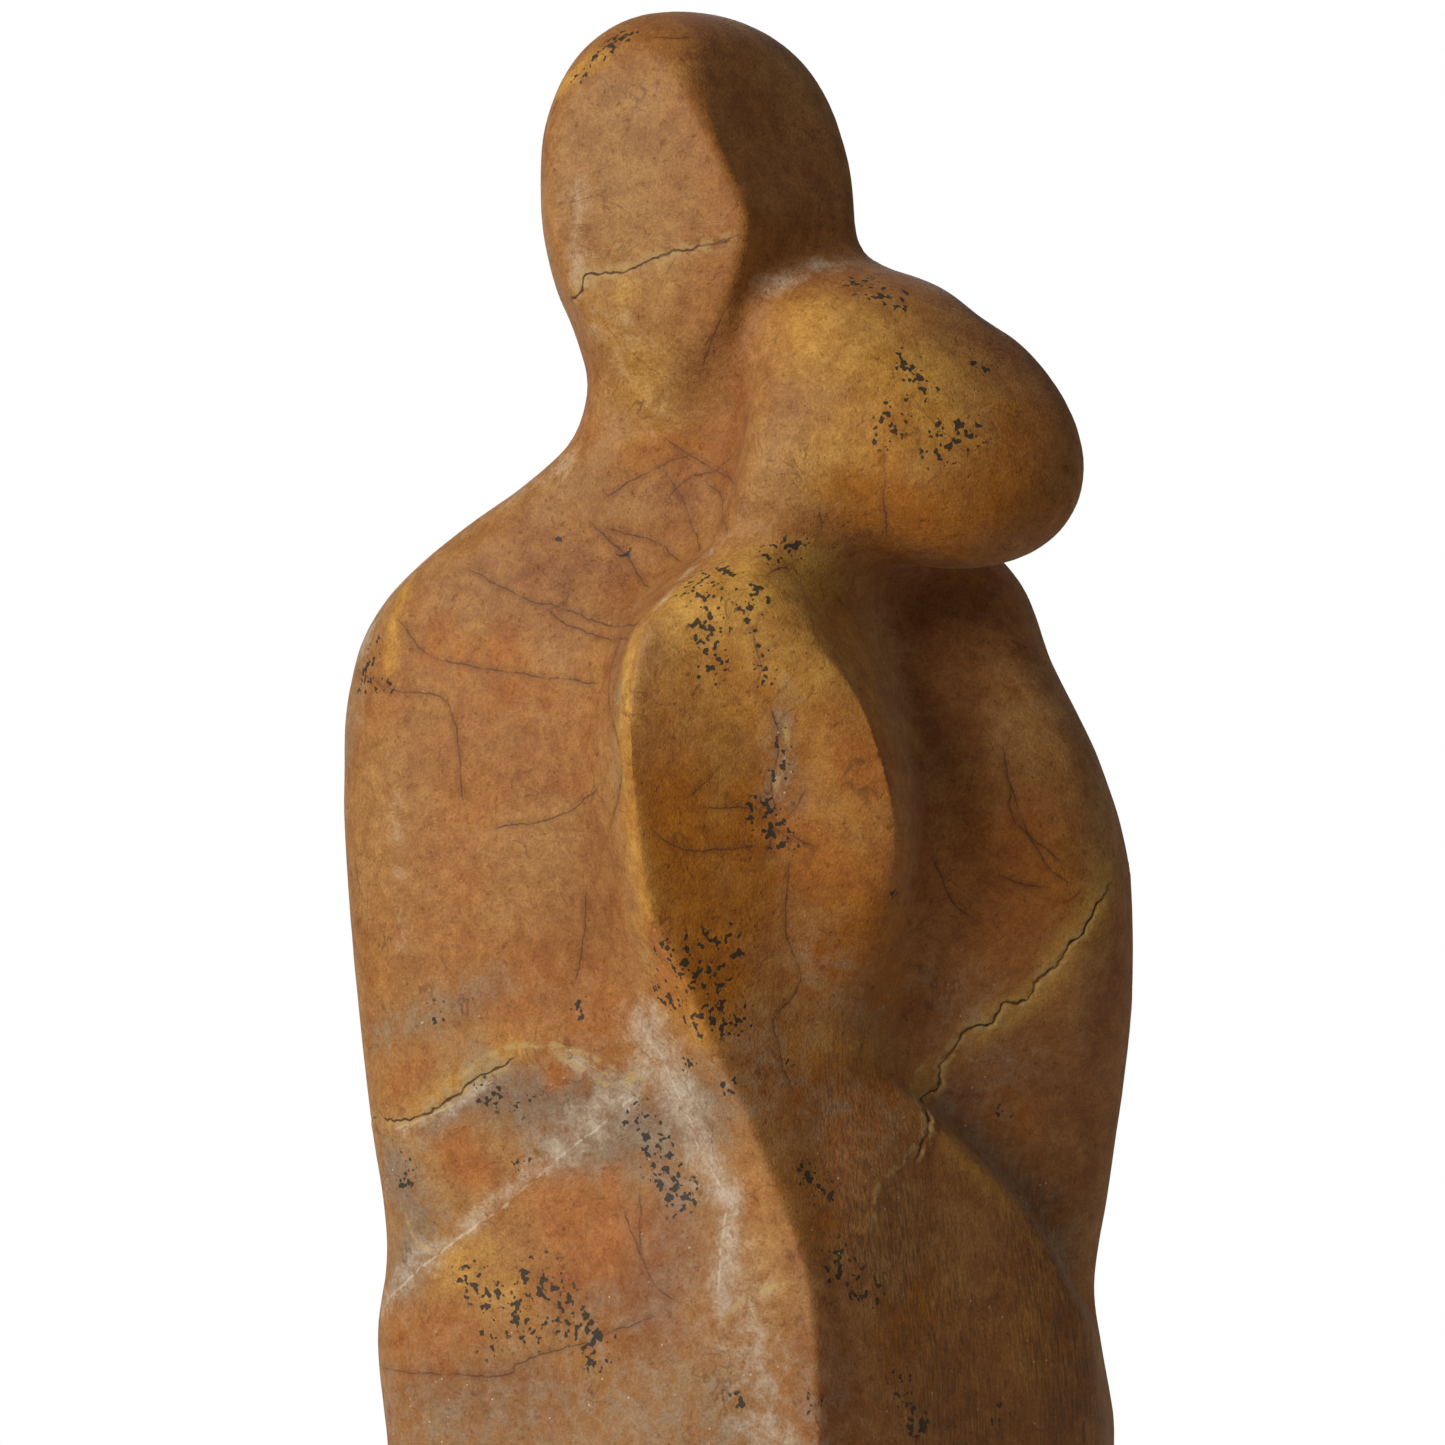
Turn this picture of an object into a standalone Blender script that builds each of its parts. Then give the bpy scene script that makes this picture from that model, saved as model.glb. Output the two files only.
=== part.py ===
"""A mother and child carved from one block of stone, with a low base, for Blender 4.5.

The form is a level set, as a carver would block it out: columns and eggs with oval sections are blended
into each other, cut to two planes at each face, and then carved back from the front. OpenVDB, which comes
with Blender, turns the surface into a mesh.

Lengths are metres, +Z is up, and the front faces -Y. The origin is on the underside. Places on the figure
are shares of its height: thousandths of FIGURE_HEIGHT, with x to the viewer's right of the middle, y away
from the viewer and z up from the top of the base. A line is a row of (height, place) pairs, and runs
smoothly through them.
"""

import bpy
import numpy as np
import openvdb

FIGURE_HEIGHT = 0.455
BASE_HEIGHT = 0.028
BASE_MARGIN = 0.007
BASE_EDGE_ROUNDING = 0.005
FOOT_FILLET = 0.009

MESH_SPACING = 0.003
SETTLING_ROUNDS = 2
MOST_TRIANGLES = 9400
GROUND_CUT_DEPTH = 0.012

STONE_COLOR = (0.36, 0.16, 0.055, 1.0)
STONE_ROUGHNESS = 0.48

THOUSANDTH = FIGURE_HEIGHT / 1000

# Corners of the grid that the figure is meshed in, a little beyond it on each side.
GRID_LOW = (-260, -220, 0)
GRID_HIGH = (260, 180, 1020)

# Outline of the joined bodies, from the foot up to the tall figure's neck.
BODY_LEFT = (
    (-60, -184), (0, -182), (90, -183), (213, -192), (276, -197), (313, -192), (398, -202),
    (501, -213), (579, -217), (629, -214), (660, -204), (686, -185), (714, -152),
    (738, -118), (760, -93), (787, -77), (830, -76),
)
BODY_RIGHT = (
    (-60, 184), (0, 182), (90, 191), (160, 204), (221, 210), (258, 206), (292, 203), (347, 210),
    (433, 217), (483, 218), (543, 214), (589, 200), (640, 175), (693, 153), (730, 113), (770, 62),
    (830, 50),
)
BODY_FRONT = (
    (-60, -176), (0, -178), (213, -184), (330, -176), (430, -170), (600, -172), (680, -160),
    (730, -140), (790, -110), (830, -90),
)
BODY_BACK = (
    (-60, 136), (0, 136), (120, 140), (250, 130), (330, 122), (430, 126), (540, 140),
    (620, 144), (680, 132), (730, 106), (790, 80), (830, 74),
)
BODY_MIDDLE = ((-60, 10), (300, 10), (600, 20), (720, 18), (830, 8))
BODY_TOP = 850
BODY_DOME = 20
BODY_SQUARENESS = 2.3

# The tall figure's head: a domed column that narrows into the neck.
HEAD_LEFT = (
    (780, -76), (799, -78), (812, -83), (826, -89), (841, -96), (865, -103), (902, -107), (940, -110),
    (963, -110), (996, -111),
)
HEAD_RIGHT = ((780, 40), (812, 50), (841, 60), (865, 64), (902, 64), (940, 63), (963, 63), (996, 65))
HEAD_FRONT = ((740, -30), (780, -62), (800, -84), (825, -110), (860, -126), (902, -128))
HEAD_BACK = ((780, 72), (812, 82), (841, 94), (865, 100), (902, 102))
HEAD_MIDDLE = ((780, 0), (902, -8))
HEAD_TOP = 996
HEAD_DOME = 122
HEAD_SQUARENESS = 2.5
FACE_RIDGE_X = (
    (780, -8), (812, -8), (833, -4), (858, 3), (874, 4), (900, -6), (924, -16), (948, -24),
    (981, -33), (1010, -41),
)
FACE_DEPTH = (
    (740, -34), (780, -76), (800, -91), (820, -99), (860, -104), (910, -104), (950, -100), (985, -93),
    (1010, -90),
)
FACE_MIDDLE = -5
FACE_SLOPES = (0.42, 1.02)
FACE_EDGE = ((780, 10), (830, 7), (880, 5), (920, 6), (950, 13), (975, 22), (1000, 36))
FACE_BEVEL = ((780, 8), (930, 9), (970, 18), (1000, 34))

# The small figure's head: an egg that leans on the tall figure's neck, on a neck of its own. Its front is
# two soft planes, its left side is cut off steeply, and its crown is pressed in at one place. It leans
# forward towards its right and its chin by these slopes.
CHILD_HEAD_CENTRE = (82, -62, 775)
CHILD_HEAD_RADII = (110, 86, 73)
CHILD_HEAD_TILT = 31
CHILD_HEAD_LEAN = (0.14, 0.30)
CHILD_NECK_CENTRE = (36, -50, 738)
CHILD_NECK_RADII = (58, 86, 66)
CHILD_LEFT_WALL_X = ((680, -46), (700, -28), (722, -6), (740, 0), (800, 9), (840, 18))
CHILD_WALL_EDGE = 12
CHILD_DENT = (133, -62, 827)
CHILD_DENT_SIZE = 17
CHILD_DENT_DEPTH = 4
CHILD_FACE_RIDGE_X = ((690, 100), (715, 114), (745, 112), (775, 92), (800, 66), (825, 48), (870, 40))
CHILD_FACE_DEPTH = ((690, -150), (732, -153), (780, -148), (870, -138))
CHILD_FACE_MIDDLE = 34
CHILD_FACE_SLOPES = (0.0, 0.55)
CHILD_FACE_EDGE = 26

# The lap: an egg low on the right, cut to a plane in front and cut off along the crease under the arm. The
# plane's depth is at the egg's middle, and it goes back to the right by its slope.
LAP_CENTRE = (40, 22, 190)
LAP_RADII = (176, 172, 340)
LAP_DEPTH = (
    (-60, -140), (120, -162), (213, -167), (300, -157), (350, -145), (400, -132), (440, -100), (480, -40),
)
LAP_SLOPE = 0.75
LAP_RIGHT_X = (
    (-60, 260), (250, 236), (280, 203), (300, 185), (330, 168), (357, 149), (380, 126), (400, 106), (418, 86),
    (450, 30), (480, -30),
)
LAP_EDGE = 7

# The carved front, as lines that run up the figure. Each is where the section turns: its x line, its
# depth line and how softly it turns. Between two lines the section is straight.
CHEST_SIDE = (
    ((-60, -190), (800, -190)),
    (
        (-60, -18), (213, -28), (300, -34), (400, -38), (500, -38), (600, -34), (680, -26), (740, -24),
        (800, -30),
    ),
    14,
)
CHILD_EDGE = (
    (
        (-60, -20), (120, -10), (213, -8), (300, -4), (350, -6), (385, -20), (450, -46), (500, -62),
        (550, -70), (590, -73), (620, -70), (645, -64), (680, -46), (698, -30), (722, -4), (740, 2), (830, 8),
    ),
    (
        (-60, -120), (213, -132), (300, -128), (350, -118), (400, -106), (450, -100), (500, -96),
        (600, -94), (680, -92), (720, -88), (760, -84), (800, -84), (830, -86),
    ),
    ((-60, 9), (640, 9), (690, 5), (830, 5)),
)
CREST = (
    (
        (-60, 37), (60, 39), (213, 41), (263, 41), (310, 38), (340, 32), (370, 20), (409, 3),
        (448, -16), (480, -29), (503, -42), (540, -50), (570, -53), (600, -55), (625, -55),
        (645, -52), (664, -45), (680, -30), (700, -4), (715, 8), (732, 18), (765, 33), (830, 40),
    ),
    (
        (-60, -146), (0, -150), (120, -164), (213, -168), (300, -160), (350, -150), (400, -142),
        (450, -140), (500, -144), (550, -150), (600, -154), (650, -154), (680, -146), (700, -130),
        (720, -112), (760, -110), (830, -114),
    ),
    ((-60, 2.5), (640, 2.5), (665, 4), (690, 12), (720, 22), (830, 22)),
)
HOLLOW = (
    (
        (-60, 75), (213, 75), (300, 70), (350, 60), (400, 47), (450, 36), (500, 27), (550, 20),
        (600, 9), (640, -10), (665, -20), (680, -12), (700, 6), (720, 26), (760, 46), (830, 52),
    ),
    (
        (-60, -122), (0, -126), (120, -137), (213, -141), (300, -134), (350, -124), (400, -116),
        (450, -114), (500, -121), (550, -133), (590, -140), (620, -147), (650, -154), (680, -157),
        (700, -146), (720, -127), (760, -116), (830, -114),
    ),
    ((-60, 16), (420, 14), (500, 7), (620, 9), (680, 16), (830, 16)),
)
RIGHT_SWELL = (
    (
        (-60, 105), (213, 105), (300, 98), (350, 85), (400, 68), (450, 58), (500, 62), (550, 64),
        (600, 50), (650, 24), (680, 12), (700, 14), (720, 38), (760, 58), (830, 64),
    ),
    (
        (-60, -96), (120, -108), (213, -112), (300, -104), (350, -100), (400, -102), (450, -107),
        (500, -122), (550, -143), (600, -156), (650, -163), (680, -158), (700, -143), (720, -120),
        (760, -106), (830, -106),
    ),
    12,
)
RIGHT_CREST = (
    (
        (-60, 130), (213, 130), (300, 124), (350, 108), (400, 88), (452, 74), (478, 75), (505, 79),
        (545, 83), (565, 81), (585, 76), (605, 70), (624, 62), (650, 44), (671, 30), (690, 22),
        (702, 26), (720, 50), (760, 70), (830, 76),
    ),
    (
        (-60, -74), (120, -84), (213, -88), (300, -80), (350, -76), (400, -82), (450, -94),
        (500, -117), (550, -141), (600, -153), (650, -158), (680, -148), (700, -132), (720, -112),
        (760, -98), (830, -96),
    ),
    ((-60, 14), (380, 10), (450, 6), (500, 4), (650, 4), (680, 10), (720, 20), (830, 20)),
)
VALLEY = (
    (
        (-60, 160), (213, 160), (300, 150), (350, 124), (385, 106), (430, 91), (466, 86), (500, 91),
        (545, 97), (590, 94), (640, 85), (690, 80), (720, 88), (760, 94), (830, 98),
    ),
    (
        (-60, -44), (120, -50), (213, -54), (300, -40), (350, -44), (385, -54), (430, -70), (466, -80),
        (500, -86), (545, -88), (590, -84), (640, -70), (680, -54), (720, -42), (830, -44),
    ),
    6,
)
ARM = (
    (
        (-60, 185), (213, 192), (300, 192), (400, 198), (500, 200), (560, 196), (600, 186), (640, 168),
        (680, 146), (720, 122), (830, 110),
    ),
    (
        (-60, -30), (213, -24), (300, 2), (350, -6), (400, -18), (450, -44), (500, -66), (560, -72),
        (600, -62), (640, -38), (680, -26), (720, -22), (830, -24),
    ),
    16,
)
FRONT_LINES = (CHEST_SIDE, CHILD_EDGE, CREST, HOLLOW, RIGHT_SWELL, RIGHT_CREST, VALLEY, ARM)
FRONT_SIDE_SLOPE = 0.9
FRONT_EDGE = 26

# The carved back, in the same way, with depth counted towards the back.
LEFT_BLADE = (
    ((-60, -110), (300, -112), (600, -118), (700, -96), (760, -52), (830, -46)),
    ((-60, -112), (120, -116), (300, -98), (430, -104), (600, -124), (680, -114), (740, -86), (830, -62)),
    34,
)
SPINE = (
    ((-60, -4), (400, 0), (700, -8), (830, -18)),
    ((-60, -114), (213, -112), (300, -96), (450, -98), (600, -106), (700, -98), (760, -78), (830, -66)),
    14,
)
RIGHT_BLADE = (
    ((-60, 106), (300, 112), (600, 112), (700, 78), (760, 24), (830, 12)),
    ((-60, -112), (120, -116), (300, -98), (430, -104), (600, -124), (680, -114), (740, -86), (830, -62)),
    34,
)
BACK_LINES = (LEFT_BLADE, SPINE, RIGHT_BLADE)
BACK_SIDE_SLOPE = 0.5
BACK_EDGE = 30

BLEND_NECK = 22
BLEND_CHILD_HEAD = 26
BLEND_LAP = 7


def line(pairs):
    """The smooth curve through these (height, value) pairs, as a function of height."""
    heights, values = np.array(pairs, float).T
    slopes = np.gradient(values, heights)

    def value_at(height):
        low = np.clip(np.searchsorted(heights, height) - 1, 0, len(heights) - 2)
        span = heights[low + 1] - heights[low]
        t = np.clip((height - heights[low]) / span, 0, 1)
        start = (1 + 2 * t) * (1 - t) ** 2 * values[low]
        end = t * t * (3 - 2 * t) * values[low + 1]
        bend = t * (1 - t) * span * ((1 - t) * slopes[low] - t * slopes[low + 1])
        return start + end + bend

    return value_at


def joined(first, second, blend):
    """Union of two level sets, with a fillet about as wide as blend."""
    share = np.clip(0.5 + 0.5 * (second - first) / blend, 0, 1)
    return second + (first - second) * share - blend * share * (1 - share)


def cut(body, tool, blend):
    """What is left of body inside tool, with the edge rounded over about blend."""
    return -joined(-body, -tool, blend)


def oval_level(offsets, radii, squareness):
    """Roughly the distance to an oval body whose radii may differ from place to place."""
    shares = [np.abs(offset) / radius for offset, radius in zip(offsets, radii)]
    reach = sum(share**squareness for share in shares) ** (1 / squareness)
    reach = np.maximum(reach, 1e-3)
    steepness = np.sqrt(
        sum((share ** (squareness - 1) / radius) ** 2 for share, radius in zip(shares, radii))
    )
    steepness = np.maximum(steepness / reach ** (squareness - 1), 1e-3)
    return (reach - 1) / steepness


def domed_column(place, sides, top, dome, squareness):
    """A column of oval sections that closes in a dome. Its sides are left, right, front, back and middle."""
    x, y, z = place
    left, right, front, back, middle = (line(side)(z) for side in sides)
    depth = np.where(y < middle, middle - front, back - middle)
    offsets = (x - (left + right) / 2, y - middle, np.maximum(z - (top - dome), 0))
    return oval_level(offsets, ((right - left) / 2, depth, dome), squareness)


def two_planes(place, ridge_x, depth, middle, slopes, edge):
    """A left plane, depth at its middle, and a right plane that turns off from it along the ridge."""
    x, y, z = place
    left_slope, right_slope = slopes
    ridge = line(ridge_x)(z)
    left = line(depth)(z) + left_slope * (middle - x)
    right = line(depth)(z) + left_slope * (middle - ridge) + right_slope * (x - ridge)
    left_level = (left - y) / np.hypot(1, left_slope)
    right_level = (right - y) / np.hypot(1, right_slope)
    return cut(left_level, right_level, edge)


def tall_head(place):
    sides = (HEAD_LEFT, HEAD_RIGHT, HEAD_FRONT, HEAD_BACK, HEAD_MIDDLE)
    egg = domed_column(place, sides, HEAD_TOP, HEAD_DOME, HEAD_SQUARENESS)
    edge, bevel = line(FACE_EDGE)(place[2]), line(FACE_BEVEL)(place[2])
    planes = two_planes(place, FACE_RIDGE_X, FACE_DEPTH, FACE_MIDDLE, FACE_SLOPES, edge)
    return cut(egg, planes, bevel)


def child_head(place):
    x, y, z = (along - centre for along, centre in zip(place, CHILD_HEAD_CENTRE))
    tilt = np.radians(CHILD_HEAD_TILT)
    along = x * np.cos(tilt) - z * np.sin(tilt)
    upward = x * np.sin(tilt) + z * np.cos(tilt)
    y = y + CHILD_HEAD_LEAN[0] * x - CHILD_HEAD_LEAN[1] * z
    egg = oval_level((along, y, upward), CHILD_HEAD_RADII, 2.0)
    egg = joined(egg, oval(place, CHILD_NECK_CENTRE, CHILD_NECK_RADII), BLEND_CHILD_HEAD)
    planes = two_planes(
        place, CHILD_FACE_RIDGE_X, CHILD_FACE_DEPTH, CHILD_FACE_MIDDLE, CHILD_FACE_SLOPES, CHILD_FACE_EDGE
    )
    egg = cut(egg, planes, CHILD_FACE_EDGE)
    egg = cut(egg, line(CHILD_LEFT_WALL_X)(place[2]) - place[0], CHILD_WALL_EDGE)
    from_dent = sum((along - centre) ** 2 for along, centre in zip(place, CHILD_DENT))
    return egg + CHILD_DENT_DEPTH * np.exp(-from_dent / CHILD_DENT_SIZE**2)


def oval(place, centre, radii):
    return oval_level([along - middle for along, middle in zip(place, centre)], radii, 2.0)


def lap(place):
    x, y, z = place
    egg = oval(place, LAP_CENTRE, LAP_RADII)
    front = line(LAP_DEPTH)(z) + LAP_SLOPE * (x - LAP_CENTRE[0]) - y
    egg = cut(egg, front / np.hypot(1, LAP_SLOPE), LAP_EDGE)
    return cut(egg, x - line(LAP_RIGHT_X)(z), LAP_EDGE)


def carved_face(place, lines, side_slope):
    """One face of the body: straight between its lines and turned softly at each. Negative behind it."""
    x, y, z = place
    across = [line(x_line)(z) for x_line, _, _ in lines]
    depth = [line(depth_line)(z) for _, depth_line, _ in lines]
    pairs = range(len(lines) - 1)
    slopes = [(depth[i + 1] - depth[i]) / (across[i + 1] - across[i]) for i in pairs]
    slopes = [-side_slope, *slopes, side_slope]
    surface = depth[0] + slopes[0] * (x - across[0])
    steepness = slopes[0]
    for i, (_, _, softness) in enumerate(lines):
        past = x - across[i]
        reach = np.hypot(past, line(softness)(z) if isinstance(softness, tuple) else softness)
        turn = slopes[i + 1] - slopes[i]
        surface = surface + turn * (past + reach) / 2
        steepness = steepness + turn * (1 + past / reach) / 2
    return (surface - y) / np.hypot(1, steepness)


def body(place):
    """The joined bodies: an oval column with a carved front and back."""
    x, y, z = place
    sides = (BODY_LEFT, BODY_RIGHT, BODY_FRONT, BODY_BACK, BODY_MIDDLE)
    column = domed_column(place, sides, BODY_TOP, BODY_DOME, BODY_SQUARENESS)
    column = cut(column, carved_face((x, -y, z), BACK_LINES, BACK_SIDE_SLOPE), BACK_EDGE)
    front = joined(carved_face(place, FRONT_LINES, FRONT_SIDE_SLOPE), lap(place), BLEND_LAP)
    return cut(column, front, FRONT_EDGE)


def figure(place):
    """Level set of the figures above the base, in thousandths."""
    level = joined(body(place), tall_head(place), BLEND_NECK)
    return joined(level, child_head(place), BLEND_CHILD_HEAD)


def base(place):
    """Level set of the low base, in thousandths: the foot's section, set out by a margin."""
    x, y, height_above_top = place
    side = body((x, y, np.zeros_like(height_above_top))) - BASE_MARGIN / THOUSANDTH
    return cut(side, height_above_top, BASE_EDGE_ROUNDING / THOUSANDTH)


def carving(points):
    """Level set of the whole carving at points in metres, in metres."""
    x, y, z = points
    place = (x / THOUSANDTH, y / THOUSANDTH, (z - BASE_HEIGHT) / THOUSANDTH)
    return joined(figure(place), base(place), FOOT_FILLET / THOUSANDTH) * THOUSANDTH


def settled(points):
    """The points moved along the level's steepest slope until they lie on the surface."""
    step = 0.1 * MESH_SPACING
    for _ in range(SETTLING_ROUNDS):
        level = carving(points.T)
        slope = np.empty_like(points)
        for axis in range(3):
            ahead = points.copy()
            ahead[:, axis] += step
            slope[:, axis] = (carving(ahead.T) - level) / step
        move = slope * (level / np.maximum((slope**2).sum(axis=1), 0.1))[:, None]
        points = points - np.clip(move, -MESH_SPACING, MESH_SPACING)
    return points


def stone_mesh(spacing):
    """The whole carving's surface as a closed mesh, which runs on a little below the ground."""
    low = np.array(GRID_LOW) * THOUSANDTH - (0, 0, GROUND_CUT_DEPTH)
    high = np.array(GRID_HIGH) * THOUSANDTH + (0, 0, BASE_HEIGHT)
    steps = np.ceil((high - low) / spacing).astype(int)
    axes = [low[axis] + spacing * np.arange(steps[axis] + 1) for axis in range(3)]
    x, y, z = np.meshgrid(*axes, indexing="ij", sparse=True)
    grid = openvdb.FloatGrid(spacing)
    grid.copyFromArray(np.maximum(carving((x, y, z)), low[2] + spacing - z))
    grid.transform = openvdb.createLinearTransform(voxelSize=spacing)
    points, quads = grid.convertToQuads()
    points = points + low
    above = points[:, 2] > low[2] + 2 * spacing
    points[above] = settled(points[above])
    mesh = bpy.data.meshes.new("mother_and_child_figure")
    mesh.from_pydata(points, [], quads[:, ::-1])
    mesh.validate()
    mesh.shade_smooth()
    return mesh


def stone_material():
    material = bpy.data.materials.new("stone")
    material.use_nodes = True
    shader = material.node_tree.nodes["Principled BSDF"]
    shader.inputs["Base Color"].default_value = STONE_COLOR
    shader.inputs["Roughness"].default_value = STONE_ROUGHNESS
    shader.inputs["Metallic"].default_value = 0.0
    return material


def collection_named(name):
    collection = bpy.data.collections.new(name)
    bpy.context.scene.collection.children.link(collection)
    return collection


def ground_cutter(collection):
    """A block whose top is the ground."""
    bpy.ops.mesh.primitive_cube_add(size=1)
    cutter = bpy.context.active_object
    cutter.name = "ground_cutter"
    cutter.scale = (FIGURE_HEIGHT, FIGURE_HEIGHT, 4 * GROUND_CUT_DEPTH)
    cutter.location.z = -2 * GROUND_CUT_DEPTH
    cutter.hide_render = True
    cutter.display_type = "WIRE"
    for old in cutter.users_collection:
        old.objects.unlink(cutter)
    collection.objects.link(cutter)
    return cutter


def build():
    for old in list(bpy.data.objects):
        bpy.data.objects.remove(old)
    mesh = stone_mesh(MESH_SPACING)
    stone = bpy.data.objects.new("mother_and_child_figure", mesh)
    stone.data.materials.append(stone_material())
    collection_named("mother_and_child_statue").objects.link(stone)
    reduce = stone.modifiers.new("reduce", "DECIMATE")
    reduce.ratio = MOST_TRIANGLES / (2 * len(mesh.polygons))
    flat = stone.modifiers.new("flat_underside", "BOOLEAN")
    flat.operation = "DIFFERENCE"
    flat.solver = "EXACT"
    flat.object = ground_cutter(collection_named("cutters"))


build()
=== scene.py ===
"""Looks of the carved stone group: its fine mesh, its stone, and a plain studio, for Blender 4.5.

Lengths are metres, +Z is up, and the front faces -Y. The form is the same level set as the solid's, meshed
finer. Places on the figure are thousandths of FIGURE_HEIGHT, with x to the viewer's right, y away from the
viewer and z up from the top of the base. A line is a row of (height, place) pairs, and runs smoothly
through them. Marks on the stone are placed by photo pixels, or on the sides that the photograph doesn't
show by a turn round the figure and a height.
"""

import bmesh
import bpy
import numpy as np
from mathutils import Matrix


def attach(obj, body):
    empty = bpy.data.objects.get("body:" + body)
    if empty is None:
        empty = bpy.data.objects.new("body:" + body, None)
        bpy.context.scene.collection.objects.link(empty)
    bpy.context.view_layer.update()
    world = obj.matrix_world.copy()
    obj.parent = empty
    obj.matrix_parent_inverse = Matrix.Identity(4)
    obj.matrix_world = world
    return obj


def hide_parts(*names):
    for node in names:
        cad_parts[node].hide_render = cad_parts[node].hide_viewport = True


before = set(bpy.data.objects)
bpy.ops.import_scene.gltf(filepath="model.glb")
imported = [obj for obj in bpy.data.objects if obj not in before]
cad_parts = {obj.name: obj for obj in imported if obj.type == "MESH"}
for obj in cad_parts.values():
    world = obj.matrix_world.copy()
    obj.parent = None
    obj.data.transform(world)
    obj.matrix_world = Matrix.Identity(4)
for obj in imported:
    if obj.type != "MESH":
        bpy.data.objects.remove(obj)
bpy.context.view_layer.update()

import openvdb
from mathutils import Vector, kdtree, noise
from mathutils.bvhtree import BVHTree

FIGURE_HEIGHT = 0.455
BASE_HEIGHT = 0.028
BASE_MARGIN = 0.007
BASE_EDGE_ROUNDING = 0.005
FOOT_FILLET = 0.009

MESH_SPACING = 0.0026
SETTLING_ROUNDS = 2
# How far beside the marks each round of refining reaches, and the bend over a face that it refines.
REFINED_BESIDE_MARKS = (0.0020, 0.0007)
REFINED_FROM_BEND = 0.30
GROUND_CUT_DEPTH = 0.012
SHARP_EDGE_DEGREES = 60

THOUSANDTH = FIGURE_HEIGHT / 1000
MM = 0.001

# Corners of the grid that the figure is meshed in, as shares of its height.
GRID_LOW = (-0.26, -0.22, 0)
GRID_HIGH = (0.26, 0.18, 1.02)

# A face whose way out points down more than this lies in the underside.
UNDERSIDE = -0.99

# The photograph's frame: its size in pixels, what a pixel covers at the figure's middle, and the camera.
PHOTO_PIXELS = 1445
PIXEL = 0.25e-3
LENS = 100.0
SENSOR = 36.0
CAMERA_X = -0.003375
CAMERA_Z = 0.305375
CAMERA_DISTANCE = PHOTO_PIXELS * PIXEL * LENS / SENSOR

# Outline of the joined bodies, from the foot up to the tall figure's neck.
BODY_LEFT = (
    (-60, -184), (0, -182), (90, -183), (213, -192), (276, -197), (313, -192), (398, -202),
    (501, -213), (579, -217), (629, -214), (660, -204), (686, -185), (714, -152),
    (738, -118), (760, -93), (787, -77), (830, -76),
)
BODY_RIGHT = (
    (-60, 184), (0, 182), (90, 191), (160, 204), (221, 210), (258, 206), (292, 203), (347, 210),
    (433, 217), (483, 218), (543, 214), (589, 200), (640, 175), (693, 153), (730, 113), (770, 62),
    (830, 50),
)
BODY_FRONT = (
    (-60, -176), (0, -178), (213, -184), (330, -176), (430, -170), (600, -172), (680, -160),
    (730, -140), (790, -110), (830, -90),
)
BODY_BACK = (
    (-60, 136), (0, 136), (120, 140), (250, 130), (330, 122), (430, 126), (540, 140),
    (620, 144), (680, 132), (730, 106), (790, 80), (830, 74),
)
BODY_MIDDLE = ((-60, 10), (300, 10), (600, 20), (720, 18), (830, 8))
BODY_TOP = 850
BODY_DOME = 20
BODY_SQUARENESS = 2.3

# The tall figure's head: a domed column that narrows into the neck.
HEAD_LEFT = (
    (780, -76), (799, -78), (812, -83), (826, -89), (841, -96), (865, -103), (902, -107), (940, -110),
    (963, -110), (996, -111),
)
HEAD_RIGHT = ((780, 40), (812, 50), (841, 60), (865, 64), (902, 64), (940, 63), (963, 63), (996, 65))
HEAD_FRONT = ((740, -30), (780, -62), (800, -84), (825, -110), (860, -126), (902, -128))
HEAD_BACK = ((780, 72), (812, 82), (841, 94), (865, 100), (902, 102))
HEAD_MIDDLE = ((780, 0), (902, -8))
HEAD_TOP = 996
HEAD_DOME = 122
HEAD_SQUARENESS = 2.5
FACE_RIDGE_X = (
    (780, -8), (812, -8), (833, -4), (858, 3), (874, 4), (900, -6), (924, -16), (948, -24),
    (981, -33), (1010, -41),
)
FACE_DEPTH = (
    (740, -34), (780, -76), (800, -91), (820, -99), (860, -104), (910, -104), (950, -100), (985, -93),
    (1010, -90),
)
FACE_MIDDLE = -5
FACE_SLOPES = (0.42, 1.02)
FACE_EDGE = ((780, 10), (830, 7), (880, 5), (920, 6), (950, 13), (975, 22), (1000, 36))
FACE_BEVEL = ((780, 8), (930, 9), (970, 18), (1000, 34))

# The small figure's head: an egg that leans on the tall figure's neck, on a neck of its own. Its front is
# two soft planes, its left side is cut off steeply, and its crown is pressed in at one place. It leans
# forward towards its right and its chin by these slopes.
CHILD_HEAD_CENTRE = (82, -62, 775)
CHILD_HEAD_RADII = (110, 86, 73)
CHILD_HEAD_TILT = 31
CHILD_HEAD_LEAN = (0.14, 0.30)
CHILD_NECK_CENTRE = (36, -50, 738)
CHILD_NECK_RADII = (58, 86, 66)
CHILD_LEFT_WALL_X = ((680, -46), (700, -28), (722, -6), (740, 0), (800, 9), (840, 18))
CHILD_WALL_EDGE = 12
CHILD_DENT = (133, -62, 827)
CHILD_DENT_SIZE = 17
CHILD_DENT_DEPTH = 4
CHILD_FACE_RIDGE_X = ((690, 100), (715, 114), (745, 112), (775, 92), (800, 66), (825, 48), (870, 40))
CHILD_FACE_DEPTH = ((690, -150), (732, -153), (780, -148), (870, -138))
CHILD_FACE_MIDDLE = 34
CHILD_FACE_SLOPES = (0.0, 0.55)
CHILD_FACE_EDGE = 26

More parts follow.
